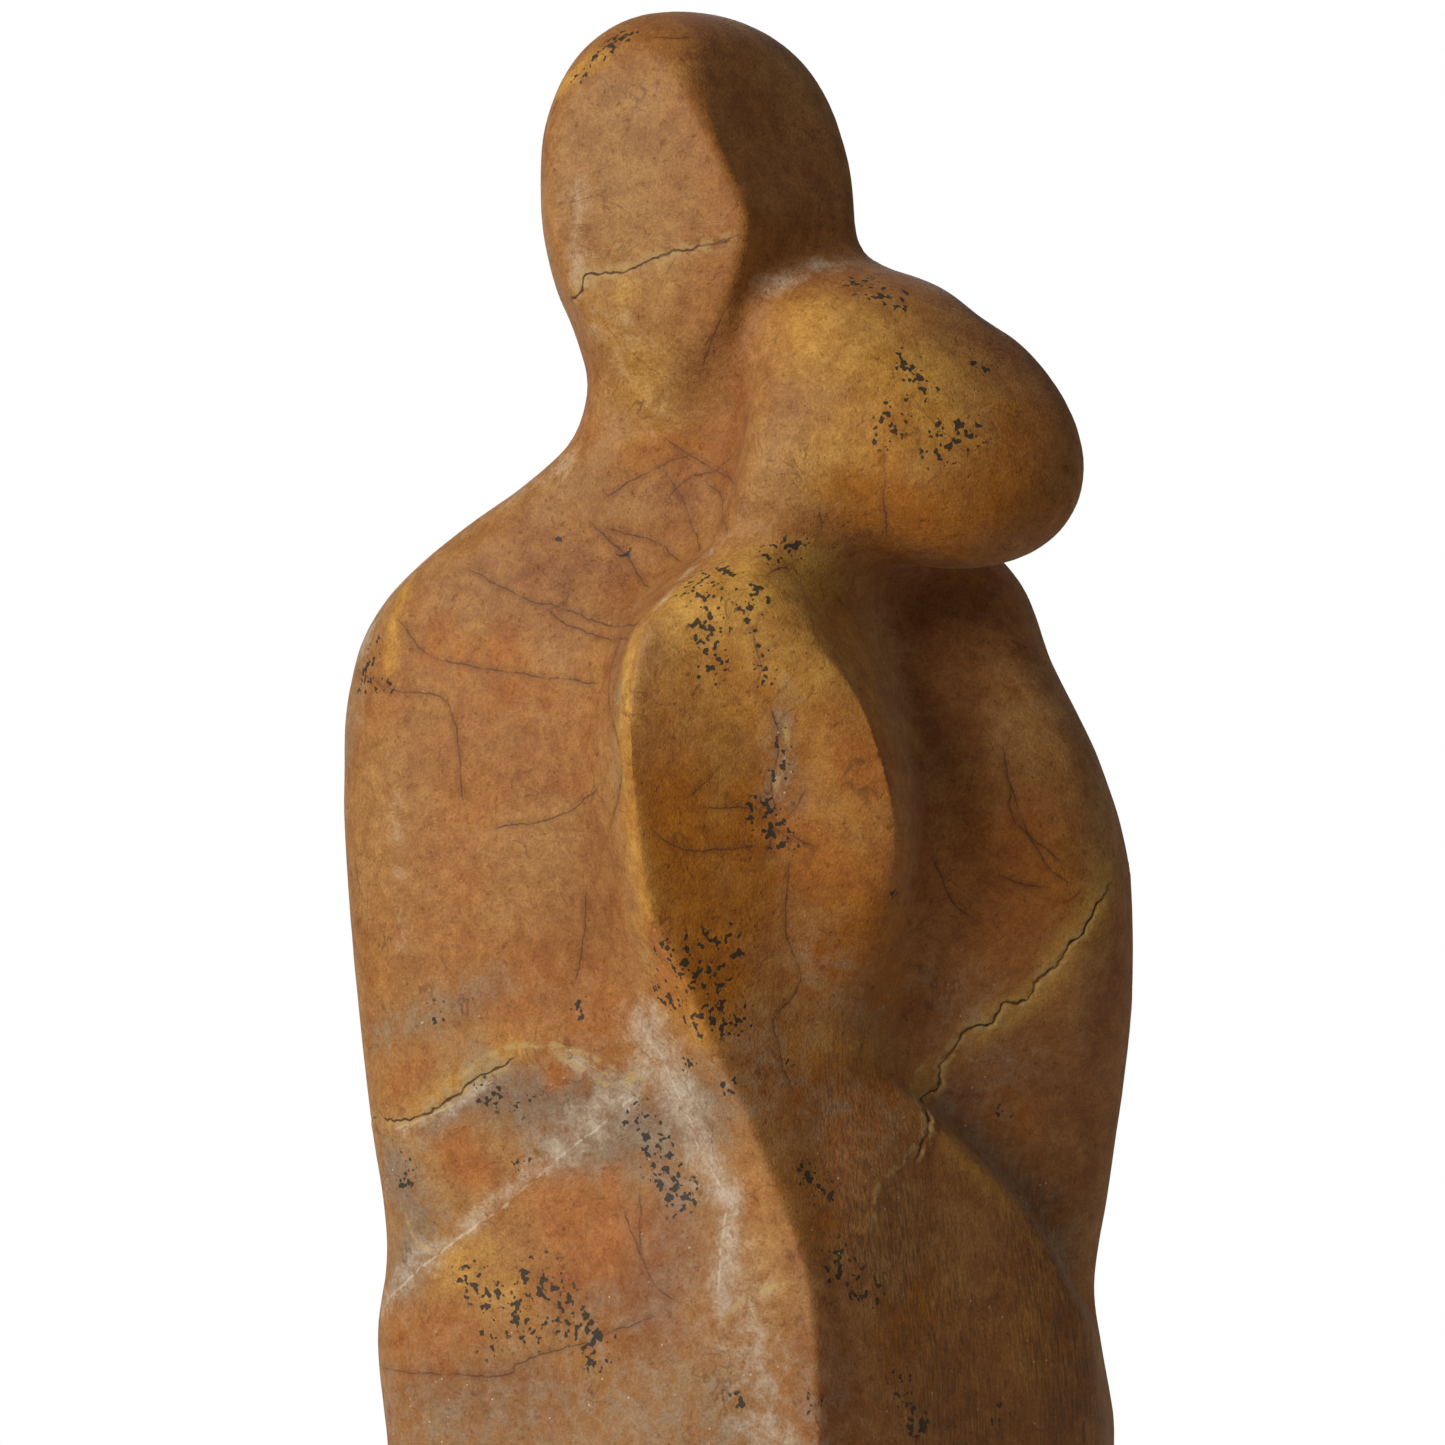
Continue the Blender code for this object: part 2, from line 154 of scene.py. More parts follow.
# The lap: an egg low on the right, cut to a plane in front and cut off along the crease under the arm. The
# plane's depth is at the egg's middle, and it goes back to the right by its slope.
LAP_CENTRE = (40, 22, 190)
LAP_RADII = (176, 172, 340)
LAP_DEPTH = (
    (-60, -140), (120, -162), (213, -167), (300, -157), (350, -145), (400, -132), (440, -100), (480, -40),
)
LAP_SLOPE = 0.75
LAP_RIGHT_X = (
    (-60, 260), (250, 236), (280, 203), (300, 185), (330, 168), (357, 149), (380, 126), (400, 106), (418, 86),
    (450, 30), (480, -30),
)
LAP_EDGE = 7

# The carved front, as lines that run up the figure. Each is where the section turns: its x line, its
# depth line and how softly it turns. Between two lines the section is straight.
CHEST_SIDE = (
    ((-60, -190), (800, -190)),
    (
        (-60, -18), (213, -28), (300, -34), (400, -38), (500, -38), (600, -34), (680, -26), (740, -24),
        (800, -30),
    ),
    14,
)
CHILD_EDGE = (
    (
        (-60, -20), (120, -10), (213, -8), (300, -4), (350, -6), (385, -20), (450, -46), (500, -62),
        (550, -70), (590, -73), (620, -70), (645, -64), (680, -46), (698, -30), (722, -4), (740, 2), (830, 8),
    ),
    (
        (-60, -120), (213, -132), (300, -128), (350, -118), (400, -106), (450, -100), (500, -96),
        (600, -94), (680, -92), (720, -88), (760, -84), (800, -84), (830, -86),
    ),
    ((-60, 9), (640, 9), (690, 5), (830, 5)),
)
CREST = (
    (
        (-60, 37), (60, 39), (213, 41), (263, 41), (310, 38), (340, 32), (370, 20), (409, 3),
        (448, -16), (480, -29), (503, -42), (540, -50), (570, -53), (600, -55), (625, -55),
        (645, -52), (664, -45), (680, -30), (700, -4), (715, 8), (732, 18), (765, 33), (830, 40),
    ),
    (
        (-60, -146), (0, -150), (120, -164), (213, -168), (300, -160), (350, -150), (400, -142),
        (450, -140), (500, -144), (550, -150), (600, -154), (650, -154), (680, -146), (700, -130),
        (720, -112), (760, -110), (830, -114),
    ),
    ((-60, 2.5), (640, 2.5), (665, 4), (690, 12), (720, 22), (830, 22)),
)
HOLLOW = (
    (
        (-60, 75), (213, 75), (300, 70), (350, 60), (400, 47), (450, 36), (500, 27), (550, 20),
        (600, 9), (640, -10), (665, -20), (680, -12), (700, 6), (720, 26), (760, 46), (830, 52),
    ),
    (
        (-60, -122), (0, -126), (120, -137), (213, -141), (300, -134), (350, -124), (400, -116),
        (450, -114), (500, -121), (550, -133), (590, -140), (620, -147), (650, -154), (680, -157),
        (700, -146), (720, -127), (760, -116), (830, -114),
    ),
    ((-60, 16), (420, 14), (500, 7), (620, 9), (680, 16), (830, 16)),
)
RIGHT_SWELL = (
    (
        (-60, 105), (213, 105), (300, 98), (350, 85), (400, 68), (450, 58), (500, 62), (550, 64),
        (600, 50), (650, 24), (680, 12), (700, 14), (720, 38), (760, 58), (830, 64),
    ),
    (
        (-60, -96), (120, -108), (213, -112), (300, -104), (350, -100), (400, -102), (450, -107),
        (500, -122), (550, -143), (600, -156), (650, -163), (680, -158), (700, -143), (720, -120),
        (760, -106), (830, -106),
    ),
    12,
)
RIGHT_CREST = (
    (
        (-60, 130), (213, 130), (300, 124), (350, 108), (400, 88), (452, 74), (478, 75), (505, 79),
        (545, 83), (565, 81), (585, 76), (605, 70), (624, 62), (650, 44), (671, 30), (690, 22),
        (702, 26), (720, 50), (760, 70), (830, 76),
    ),
    (
        (-60, -74), (120, -84), (213, -88), (300, -80), (350, -76), (400, -82), (450, -94),
        (500, -117), (550, -141), (600, -153), (650, -158), (680, -148), (700, -132), (720, -112),
        (760, -98), (830, -96),
    ),
    ((-60, 14), (380, 10), (450, 6), (500, 4), (650, 4), (680, 10), (720, 20), (830, 20)),
)
VALLEY = (
    (
        (-60, 160), (213, 160), (300, 150), (350, 124), (385, 106), (430, 91), (466, 86), (500, 91),
        (545, 97), (590, 94), (640, 85), (690, 80), (720, 88), (760, 94), (830, 98),
    ),
    (
        (-60, -44), (120, -50), (213, -54), (300, -40), (350, -44), (385, -54), (430, -70), (466, -80),
        (500, -86), (545, -88), (590, -84), (640, -70), (680, -54), (720, -42), (830, -44),
    ),
    6,
)
ARM = (
    (
        (-60, 185), (213, 192), (300, 192), (400, 198), (500, 200), (560, 196), (600, 186), (640, 168),
        (680, 146), (720, 122), (830, 110),
    ),
    (
        (-60, -30), (213, -24), (300, 2), (350, -6), (400, -18), (450, -44), (500, -66), (560, -72),
        (600, -62), (640, -38), (680, -26), (720, -22), (830, -24),
    ),
    16,
)
FRONT_LINES = (CHEST_SIDE, CHILD_EDGE, CREST, HOLLOW, RIGHT_SWELL, RIGHT_CREST, VALLEY, ARM)
FRONT_SIDE_SLOPE = 0.9
FRONT_EDGE = 26

# The carved back, in the same way, with depth counted towards the back.
BLADE_DEPTH = (
    (-60, -112), (120, -116), (300, -98), (430, -104), (600, -124), (680, -114), (740, -86), (830, -62),
)
BLADE_SOFTNESS = 34
LEFT_BLADE = (
    ((-60, -110), (300, -112), (600, -118), (700, -96), (760, -52), (830, -46)), BLADE_DEPTH, BLADE_SOFTNESS,
)
SPINE = (
    ((-60, -4), (400, 0), (700, -8), (830, -18)),
    ((-60, -114), (213, -112), (300, -96), (450, -98), (600, -106), (700, -98), (760, -78), (830, -66)),
    14,
)
RIGHT_BLADE = (
    ((-60, 106), (300, 112), (600, 112), (700, 78), (760, 24), (830, 12)), BLADE_DEPTH, BLADE_SOFTNESS,
)
BACK_LINES = (LEFT_BLADE, SPINE, RIGHT_BLADE)
BACK_SIDE_SLOPE = 0.5
BACK_EDGE = 30

BLEND_NECK = 22
BLEND_CHILD_HEAD = 26
BLEND_LAP = 7

# Routes of thin dark veins. Each has two numbers to a stop: across and down in the photograph's pixels, or
# round the rest the turn in degrees and the height in metres.
DARK_VEINS = {
    "photo": (
        (647, 39, 672, 37, 699, 39), (739, 290, 724, 312, 708, 350, 700, 372),
        (660, 435, 700, 460, 735, 485), (585, 520, 620, 550, 650, 590), (600, 525, 650, 540, 683, 563),
        (545, 610, 575, 628, 630, 638), (395, 615, 430, 655, 480, 668, 600, 682),
        (358, 670, 395, 690, 450, 706, 463, 810), (485, 830, 560, 815, 600, 785),
        (588, 880, 583, 945, 573, 990), (861, 278, 880, 275, 897, 274), (885, 440, 884, 490, 888, 540),
        (820, 500, 822, 540), (750, 559, 779, 555, 788, 548, 810, 542), (762, 579, 779, 568, 798, 572),
        (750, 622, 756, 650, 764, 676),
        (791, 855, 786, 891, 785, 930, 800, 980, 780, 1010, 775, 1030, 795, 1100),
        (684, 802, 705, 782, 725, 761), (648, 826, 684, 850, 737, 848, 764, 844),
        (696, 809, 754, 808, 764, 821, 791, 841, 781, 853),
        (380, 1365, 500, 1375, 520, 1362, 600, 1337, 660, 1315), (620, 1200, 650, 1275, 680, 1305),
        (640, 1185, 640, 1260), (1010, 780, 1015, 820, 1070, 870), (990, 870, 1025, 884, 1060, 890),
        (700, 450, 650, 470, 600, 500), (645, 455, 668, 478, 690, 520, 700, 556),
        (738, 448, 715, 470, 690, 478, 660, 505), (700, 478, 722, 500, 728, 540),
        (462, 565, 520, 596, 570, 612, 640, 622), (620, 640, 608, 700, 622, 760, 610, 830),
        (1000, 740, 1012, 790, 1032, 840, 1052, 870, 1072, 884), (930, 850, 952, 900, 990, 930),
        (770, 700, 778, 740, 772, 790, 781, 826), (781, 826, 800, 800, 806, 782),
        (781, 826, 764, 806, 758, 786), (781, 826, 770, 846, 762, 866), (781, 826, 800, 842, 822, 846),
    ),
    "round": (
        (-100, 0.33, -112, 0.318, -128, 0.322, -146, 0.3),
        (-95, 0.12, -110, 0.135, -130, 0.13, -150, 0.152),
        (150, 0.365, 165, 0.34, 178, 0.352, 196, 0.322, 204, 0.29),
        (176, 0.3, 184, 0.262, 178, 0.228, 190, 0.196), (205, 0.21, 192, 0.172, 196, 0.14, 180, 0.11),
        (120, 0.19, 132, 0.168, 150, 0.172, 166, 0.15), (98, 0.3, 110, 0.322, 122, 0.312, 136, 0.338),
        (165, 0.44, 175, 0.418, 190, 0.424, 200, 0.405), (-40, 0.07, -20, 0.085, 0, 0.078, 14, 0.096),
        (40, 0.06, 60, 0.078, 84, 0.07),
    ),
}

# Ochre lines, a little raised.
OCHRE_VEINS = {
    "photo": (
        (791, 717, 786, 731, 786, 758, 779, 778, 773, 797), (545, 1048, 570, 1065, 610, 1085, 645, 1072),
        (930, 1060, 915, 1100, 925, 1130, 890, 1175, 878, 1190, 875, 1230),
        (450, 1085, 500, 1050, 560, 1047, 600, 1060, 650, 1085),
        (715, 1320, 750, 1300, 775, 1285, 800, 1282), (400, 1200, 415, 1240, 440, 1258),
    ),
    "round": (
        (196, 0.245, 180, 0.258, 162, 0.24, 150, 0.252), (-120, 0.25, -135, 0.232, -150, 0.236),
    ),
}

# Open cracks: how deep each is and how high its crusted lip stands, in millimetres, and its route.
CRACKS = {
    "photo": (
        (
            0.2, 0,
            (
                743, 232, 724, 241, 698, 246, 678, 250, 662, 255, 652, 261, 629, 268, 611, 272, 587, 275,
                584, 286, 578, 295, 568, 297,
            ),
        ),
        (0.4, 0.16, (378, 1112, 395, 1122, 420, 1115, 440, 1103, 478, 1078, 505, 1065, 520, 1050)),
        (
            0.5, 0.3,
            (
                1112, 880, 1098, 902, 1088, 928, 1068, 946, 1058, 966, 1038, 980, 1026, 1000, 1004, 1004,
                988, 1024, 968, 1028, 954, 1050, 940, 1066, 936, 1090, 922, 1104, 926, 1134, 914, 1166,
            ),
        ),
    ),
    "round": (
        (0.4, 0.14, (-84, 0.208, -98, 0.204, -116, 0.212, -140, 0.206, -158, 0.218)),
        (0.4, 0.14, (84, 0.264, 96, 0.272, 112, 0.266, 130, 0.28)),
    ),
}

# White hairlines.
HAIRLINES = {
    "photo": (
        (385, 1308, 430, 1262, 500, 1208, 560, 1158, 604, 1122, 645, 1088),
        (655, 1045, 676, 1090, 700, 1150, 728, 1196), (728, 1196, 722, 1240, 718, 1300),
        (392, 1132, 440, 1110, 490, 1080),
    ),
    "round": (
        (-88, 0.166, -104, 0.184, -124, 0.178, -146, 0.198, -166, 0.206),
        (118, 0.25, 140, 0.236, 162, 0.26, 188, 0.268, 206, 0.29), (172, 0.13, 188, 0.118, 204, 0.124),
        (0, 0.11, 6, 0.07, 2, 0.036),
    ),
}

# Soft zones of colour: a radius in millimetres, a strength and a route, or one point. Some paint light and
# shade.
TAN_AND_PAINTED_LIGHT_ZONES = {
    "photo": (
        # The second zone on this line and the zone on the next paint light: a pale sheen along the left edge,
        # where it turns to the lamp.
        (17, 0.9, (630, 110, 640, 200, 640, 310)), (7, 0.7, (368, 700, 366, 900)),
        (8, 0.8, (352, 610, 345, 800, 352, 1000, 374, 1170)),
        # The first zone on this line is a painted highlight on the lit strip left of the crest.
        (6, 1.0, (640, 640, 622, 700, 617, 780, 630, 870, 652, 960)), (11, 0.7, (790, 440, 740, 520)),
        (13, 0.7, (420, 1420, 520, 1430, 620, 1410)), (12, 0.8, (755, 1260, 772, 1440)),
        # The second zone on this line paints light along the shoulder's edge.
        (16, 1.1, (620, 290, 635, 400)), (13, 0.9, (560, 470, 440, 540, 370, 620, 350, 720)),
        # The first zone on this line and both zones on the next paint light: on the arm's right edge, and a
        # pale sheen by the left edge.
        (12, 0.9, (1090, 720, 1105, 850)), (9, 0.5, (965, 850, 950, 980)),
        (8, 0.7, (1090, 950, 1085, 1040)), (22, 0.9, (380, 800, 420, 890, 540, 850)),
        (15, 1.1, (660, 1050, 716, 1160, 744, 1250)), (16, 0.9, (620, 1400, 720, 1400)),
        (16, 0.9, (560, 1190, 640, 1150)), (20, 0.9, (430, 1140, 420, 1260, 400, 1340)),
    ),
    "round": (
        (20, 0.7, (-125, 0.42, -150, 0.44)), (24, 0.7, (180, 0.37, 200, 0.34)),
        (20, 0.6, (130, 0.06, 165, 0.07)), (18, 0.6, (90, 0.18, 110, 0.2)),
    ),
}
GOLDEN_AND_PAINTED_HIGHLIGHT_ZONES = {
    "photo": (
        (10, 1.0, (805, 318, 832, 345)), (5, 0.7, (849, 360)), (4, 0.7, (910, 395)),
        (20, 0.8, (850, 360, 930, 390, 870, 440)), (12, 0.9, (810, 580, 850, 640, 865, 700)),
        # The second zone on this line is a painted highlight on the lit strip left of the crest.
        (12, 0.7, (850, 750, 875, 880)), (5, 0.9, (634, 640, 624, 700, 628, 800, 645, 900)),
        (14, 0.5, (630, 300, 650, 400)), (14, 0.8, (775, 640, 825, 700)), (14, 1.0, (700, 600, 775, 590)),
        (10, 0.6, (690, 680, 740, 720)), (14, 0.5, (700, 700, 720, 860)),
        (3, 0.9, (410, 580, 395, 620, 390, 665)), (4, 0.9, (563, 84, 578, 70, 600, 58)),
        (9, 0.6, (1100, 880, 1070, 930)),
        (5.5, 1.0, (1095, 905, 1062, 950, 1040, 985, 1005, 1015, 965, 1038, 920, 1095)),
        # The first zone on this line is a painted highlight along the lap's lit rim.
        (6, 0.5, (940, 1135, 1000, 1190, 1060, 1270, 1100, 1360)), (10, 0.6, (1035, 1290, 1030, 1370)),
        (10, 0.6, (450, 1262, 500, 1290, 600, 1345)), (11, 0.8, (660, 940, 700, 1000)),
        (4, 0.8, (420, 1110, 478, 1065, 520, 1045)), (6, 0.5, (500, 1040, 560, 1020)),
        (6, 0.6, (880, 1045, 800, 1050)),
    ),
    "round": (
        (14, 0.7, (-120, 0.29, -135, 0.27)), (12, 0.6, (165, 0.38, 180, 0.4)),
        (13, 0.6, (140, 0.27, 125, 0.285)), (12, 0.6, (200, 0.15, 180, 0.13)),
        (12, 0.5, (30, 0.075, 50, 0.06)),
    ),
}
RUSSET_AND_PAINTED_SHADE_ZONES = {
    "photo": (
        (7, 0.6, (749, 102)), (5, 0.5, (650, 130)), (6.5, 0.5, (739, 268, 724, 306, 703, 357, 700, 370)),
        (15, 0.6, (740, 400, 690, 480)), (9, 0.9, (722, 462, 728, 505)), (12, 0.8, (600, 1335, 650, 1320)),
        (14, 0.7, (590, 850, 580, 950)), (16, 0.45, (500, 700, 560, 780)), (17, 0.5, (1000, 780, 985, 920)),
        # The second zone on this line is painted shade in the crease under the arm.
        (10, 1.0, (1110, 1000, 1095, 1040)), (16, 0.7, (1040, 1080, 1070, 1180)),
        # The second zone on this line is painted shade along the valley's crease.
        (11, 0.6, (640, 1200, 690, 1280)), (3.5, 1.1, (926, 1098, 932, 1130, 924, 1165)),
        # The second zone on this line is painted shade in the valley under the small head.
        (12, 0.6, (690, 850, 760, 890, 870, 890)), (17, 1.0, (905, 580, 950, 640, 950, 720)),
        # The first zone on this line is painted shade over the lap's right side.
        (18, 0.7, (1040, 1260, 1060, 1420)), (24, 0.45, (450, 590, 600, 600)),
        # The zones on this line are painted shade: down the valley, and right of the lower crest.
        (7, 1.0, (915, 760, 915, 900)), (9, 0.9, (925, 1020, 950, 1095)), (14, 0.7, (830, 1200, 830, 1400)),
        # The first zone on this line is painted shade on the lap below the crease.
        (18, 0.6, (900, 1300, 960, 1420)), (13, 0.9, (560, 1300, 600, 1290, 645, 1280)),
        (14, 0.6, (420, 1370, 540, 1400)),
    ),
    "round": (
        (20, 0.6, (-100, 0.26, -125, 0.24)), (20, 0.6, (190, 0.32, 170, 0.29)),
        (18, 0.6, (110, 0.22, 130, 0.2)), (18, 0.5, (-100, 0.08, -140, 0.1)),
    ),
}
GREY_ZONES = {
    "photo": (
        (9, 0.9, (395, 1170, 420, 1230, 400, 1285)), (10, 1.0, (490, 1090, 560, 1110, 620, 1100)),
        (12, 1.0, (570, 1140, 650, 1130, 705, 1110)), (6, 0.8, (430, 1125, 480, 1095)),
        (15, 0.4, (770, 1070, 860, 1110)), (12, 0.3, (830, 960, 870, 1020)),
        (6, 0.6, (375, 1035, 430, 1018, 500, 985)), (11, 0.45, (950, 990, 1010, 1070)),
        (12, 0.5, (960, 1120, 1060, 1260)), (8, 0.35, (380, 560, 365, 640)),
        (24, 0.55, (430, 1410, 620, 1410, 760, 1420)), (5, 0.7, (655, 1160, 680, 1200)),
        (6, 0.5, (785, 700, 780, 800)), (8, 0.5, (355, 610, 350, 740)),
        (5, 0.4, (625, 610, 618, 700, 620, 790)), (14, 0.4, (560, 1020, 600, 1090, 600, 1200)),
        (14, 0.45, (700, 1190, 650, 1300)), (10, 0.45, (520, 1400, 600, 1310, 690, 1240)),
    ),
    "round": (
        (16, 0.7, (-110, 0.19, -140, 0.17, -165, 0.18)), (14, 0.6, (170, 0.23, 190, 0.25)),
        (18, 0.6, (110, 0.12, 130, 0.1)), (16, 0.6, (-30, 0.05, 20, 0.045)),
    ),
}
AMBER_ZONES = {
    "photo": (
        (12, 1.1, (672, 790, 690, 880, 715, 980)), (13, 0.9, (740, 820, 752, 900)),
        (8, 0.6, (880, 545, 960, 545)), (12, 0.6, (1000, 470, 1030, 420)), (10, 0.6, (640, 470, 700, 450)),
        (14, 0.6, (850, 640, 880, 760)), (10, 0.7, (800, 1060, 870, 1090)),
        (12, 0.7, (905, 1330, 930, 1300)), (8, 0.6, (890, 420, 880, 480)), (12, 0.5, (450, 640, 520, 680)),
        (14, 0.3, (1000, 660, 1050, 740)), (14, 0.8, (810, 840, 870, 900, 880, 980)),
        (12, 0.7, (1000, 870, 1050, 880)), (20, 0.45, (740, 720, 745, 860, 740, 980)),
        (18, 0.4, (860, 400, 930, 450, 980, 500)), (13, 0.9, (870, 510, 950, 520, 1010, 490)),
        (11, 0.55, (810, 1100, 860, 1110)), (8, 0.55, (800, 1190, 820, 1235)),
        (10, 0.5, (975, 890, 975, 925)), (10, 0.5, (1015, 1060, 1025, 1130)),
    ),
    "round": (
        (18, 0.6, (150, 0.33, 170, 0.31)), (16, 0.6, (-130, 0.33, -150, 0.3)),
        (16, 0.6, (120, 0.15, 100, 0.16)),
    ),
}
PALE_ZONES = {
    "photo": (
        (7, 1.0, (648, 1030, 664, 1060, 684, 1110)), (6, 0.8, (684, 1110, 704, 1150, 728, 1196)),
        (5, 0.7, (735, 1200, 722, 1310)), (4, 0.75, (383, 1304, 400, 1282, 430, 1254)),
        (3, 0.6, (430, 1254, 470, 1226, 500, 1198, 560, 1148)),
        (5.6, 0.75, (560, 1145, 610, 1104, 650, 1070)), (2.4, 0.3, (396, 800, 398, 870, 404, 950)),
        (2, 0.7, (400, 1130, 445, 1112, 485, 1085)), (3.4, 0.6, (762, 290, 800, 273, 850, 262)),
        (5, 0.3, (576, 190, 582, 270, 596, 330)), (8, 0.55, (745, 1300, 765, 1440)),
        (1.6, 0.6, (745, 505, 700, 560, 660, 605)), (3, 0.4, (640, 1085, 600, 1075, 570, 1060)),
        (13, 0.2, (615, 330, 640, 400)), (6, 0.4, (560, 465, 440, 535, 360, 640)),
    ),
    "round": (
        (3.4, 0.7, (-90, 0.165, -108, 0.182, -130, 0.176, -150, 0.196)),
        (3.2, 0.6, (120, 0.25, 140, 0.236, 160, 0.262, 186, 0.27)), (5, 0.5, (0, 0.11, 6, 0.07, 0, 0.035)),
    ),
}
FRESH_ZONES = {
    "photo": (
        (7, 1.0, (455, 1150, 470, 1170)), (6, 0.8, (395, 1085, 420, 1065)),
        (14, 0.9, (560, 1210, 600, 1240)), (12, 0.7, (400, 1340, 450, 1335)), (3.6, 0.9, (556, 1075)),
        (3.6, 0.9, (614, 1177, 612, 1200)), (5.2, 0.4, (722, 1118, 740, 1160, 758, 1215)),
        (5, 0.9, (655, 940, 668, 985)), (12, 0.7, (850, 720, 890, 850)), (18, 0.5, (470, 800, 440, 920)),
        (14, 0.7, (520, 1000, 600, 1010)), (10, 0.6, (800, 840, 840, 860)), (10, 0.5, (680, 700, 660, 760)),
        (18, 0.9, (985, 850, 1000, 930)), (14, 0.3, (1030, 1090, 1060, 1180)),
        (24, 0.4, (420, 660, 560, 720)),
    ),
    "round": (
        (18, 0.8, (-120, 0.215, -150, 0.225)), (18, 0.8, (-115, 0.13, -140, 0.12)),
        (18, 0.7, (180, 0.27, 200, 0.25)), (16, 0.8, (160, 0.19, 180, 0.2)),
        (16, 0.7, (90, 0.11, 110, 0.08)),
    ),
}
RASPED_ZONES = {
    "photo": (
        (22, 1.0, (900, 1230, 960, 1420)), (14, 0.7, (860, 1060, 900, 1160)),
        (20, 1.2, (1040, 1230, 1070, 1420)), (11, 1.0, (850, 1110, 862, 1250)),
    ),
    "round": (
        (24, 0.8, (30, 0.1, 50, 0.05)), (20, 0.6, (80, 0.14, 100, 0.08)),
    ),
}

# Where the fern-like marks grow, in the same way.
DENDRITE_ZONES = {
    "photo": (
        (2.6, 1.0, (578, 74, 592, 65, 606, 52, 625, 38)), (4, 1.0, (862, 284, 880, 292, 900, 297)),
        (3.2, 1.0, (903, 362, 925, 388)), (3, 1.0, (895, 412, 885, 435)),
        (3.4, 1.0, (946, 428, 972, 431, 940, 452)), (3, 0.9, (978, 366)), (4.2, 1.0, (692, 582, 722, 580)),
        (3, 1.0, (752, 592, 754, 612)), (3.4, 1.0, (706, 612, 714, 640, 708, 668)),
        (2.6, 0.8, (757, 642, 764, 676)), (2.6, 0.9, (770, 557, 800, 546)),
        (3.4, 1.0, (762, 812, 785, 838)), (2.6, 0.7, (788, 730, 780, 775)),
        (5.2, 1.0, (676, 960, 700, 985, 720, 948)), (3.6, 1.0, (660, 985, 705, 1020, 740, 1018)),
        (2.6, 0.9, (725, 1085)), (2.6, 0.9, (690, 1065)), (4.4, 1.0, (640, 1120, 660, 1160, 680, 1195)),
        (2.6, 0.8, (375, 650, 358, 677, 393, 690)), (2.8, 0.9, (435, 1015)), (2.6, 0.8, (578, 1008)),
        (3.2, 0.9, (488, 1092, 520, 1100)), (2.6, 0.8, (520, 1163)), (2.6, 0.8, (408, 1160, 404, 1185)),
        (4, 1.0, (470, 1280, 500, 1300, 535, 1330)), (4.6, 1.0, (540, 1275, 560, 1305, 600, 1350)),
        (3, 0.9, (488, 1345)), (2.4, 0.8, (556, 538)), (2.2, 0.8, (620, 552)),
        (3.4, 0.9, (810, 1175, 822, 1192)), (4, 0.9, (832, 1255, 850, 1285, 870, 1290)),
        (3.4, 0.8, (900, 1385, 915, 1420)), (2.6, 0.8, (1000, 1415)), (2.6, 0.8, (810, 1405)),
        (2.4, 0.7, (735, 1405)), (2.2, 0.7, (1005, 1112)), (2.2, 0.7, (897, 889)), (2.2, 0.7, (790, 1055)),
    ),
    "round": (
        (4.4, 1.0, (-118, 0.345, -124, 0.33)), (5, 1.0, (-135, 0.262, -142, 0.25)),
        (4.4, 1.0, (-104, 0.14, -112, 0.128)), (5.2, 1.0, (172, 0.352, 180, 0.338, 186, 0.346)),
        (4.6, 1.0, (196, 0.3, 202, 0.284)), (5.6, 1.0, (160, 0.25, 150, 0.236, 168, 0.226)),
        (5, 1.0, (188, 0.165, 178, 0.15)), (4.4, 1.0, (205, 0.095, 196, 0.08)),
        (4.8, 1.0, (128, 0.33, 120, 0.318)), (4.6, 1.0, (118, 0.175, 126, 0.16)),
        (4.4, 1.0, (176, 0.445, 184, 0.432)), (4.4, 1.0, (-20, 0.08, -10, 0.066)),
        (4.6, 1.0, (40, 0.085, 52, 0.07)), (4, 1.0, (150, 0.08, 142, 0.066)),
    ),
}


ZONES = {
    "tan_and_painted_light": TAN_AND_PAINTED_LIGHT_ZONES, "golden_and_painted_highlight": GOLDEN_AND_PAINTED_HIGHLIGHT_ZONES, "russet_and_painted_shade": RUSSET_AND_PAINTED_SHADE_ZONES, "amber": AMBER_ZONES,
    "grey": GREY_ZONES, "fresh": FRESH_ZONES, "pale": PALE_ZONES, "rasped": RASPED_ZONES,
    "dendrites": DENDRITE_ZONES,
}

# How a route is traced: its steps, how far each kind wanders, and the lengths over which it wanders.
ROUTE_STEP = 0.0008
LINE_WANDER = 0.0006
OCHRE_WANDER = 0.0008
CRACK_WANDER = 0.0009
LONG_WANDER = 0.006
SHORT_WANDER = 0.0022
# A mark fades out over this length at each end, and is followed this far to each side. Veins are kept in
# this many sets, so that no two in a set come close.
FADING_END = 0.004
FAR_OFF = 0.006
VEIN_SETS = 3

# Relief of the marks, in metres. Jags, crust and worn pits also have the size of their bumps.
MARK_HALF_WIDTH = 0.0004
LIP_OFFSET = 0.0013
LIP_HALF_WIDTH = 0.0008
VEIN_GROOVE = 0.00008
OCHRE_RIDGE = 0.00014
CRACK_JAG = 0.0007
CRACK_JAG_SIZE = 0.0017
CRUST_SIZE = 0.0018
WORN_PITS = 0.00016
WORN_PIT_SIZE = 0.003
# The hand's work: the size and the depth of each set of bumps.
HAND_WORK = ((0.030, 0.00028), (0.012, 0.00013), (0.005, 0.00004))
# The relief fades out over this height above the ground.
RELIEF_RISE = 0.004

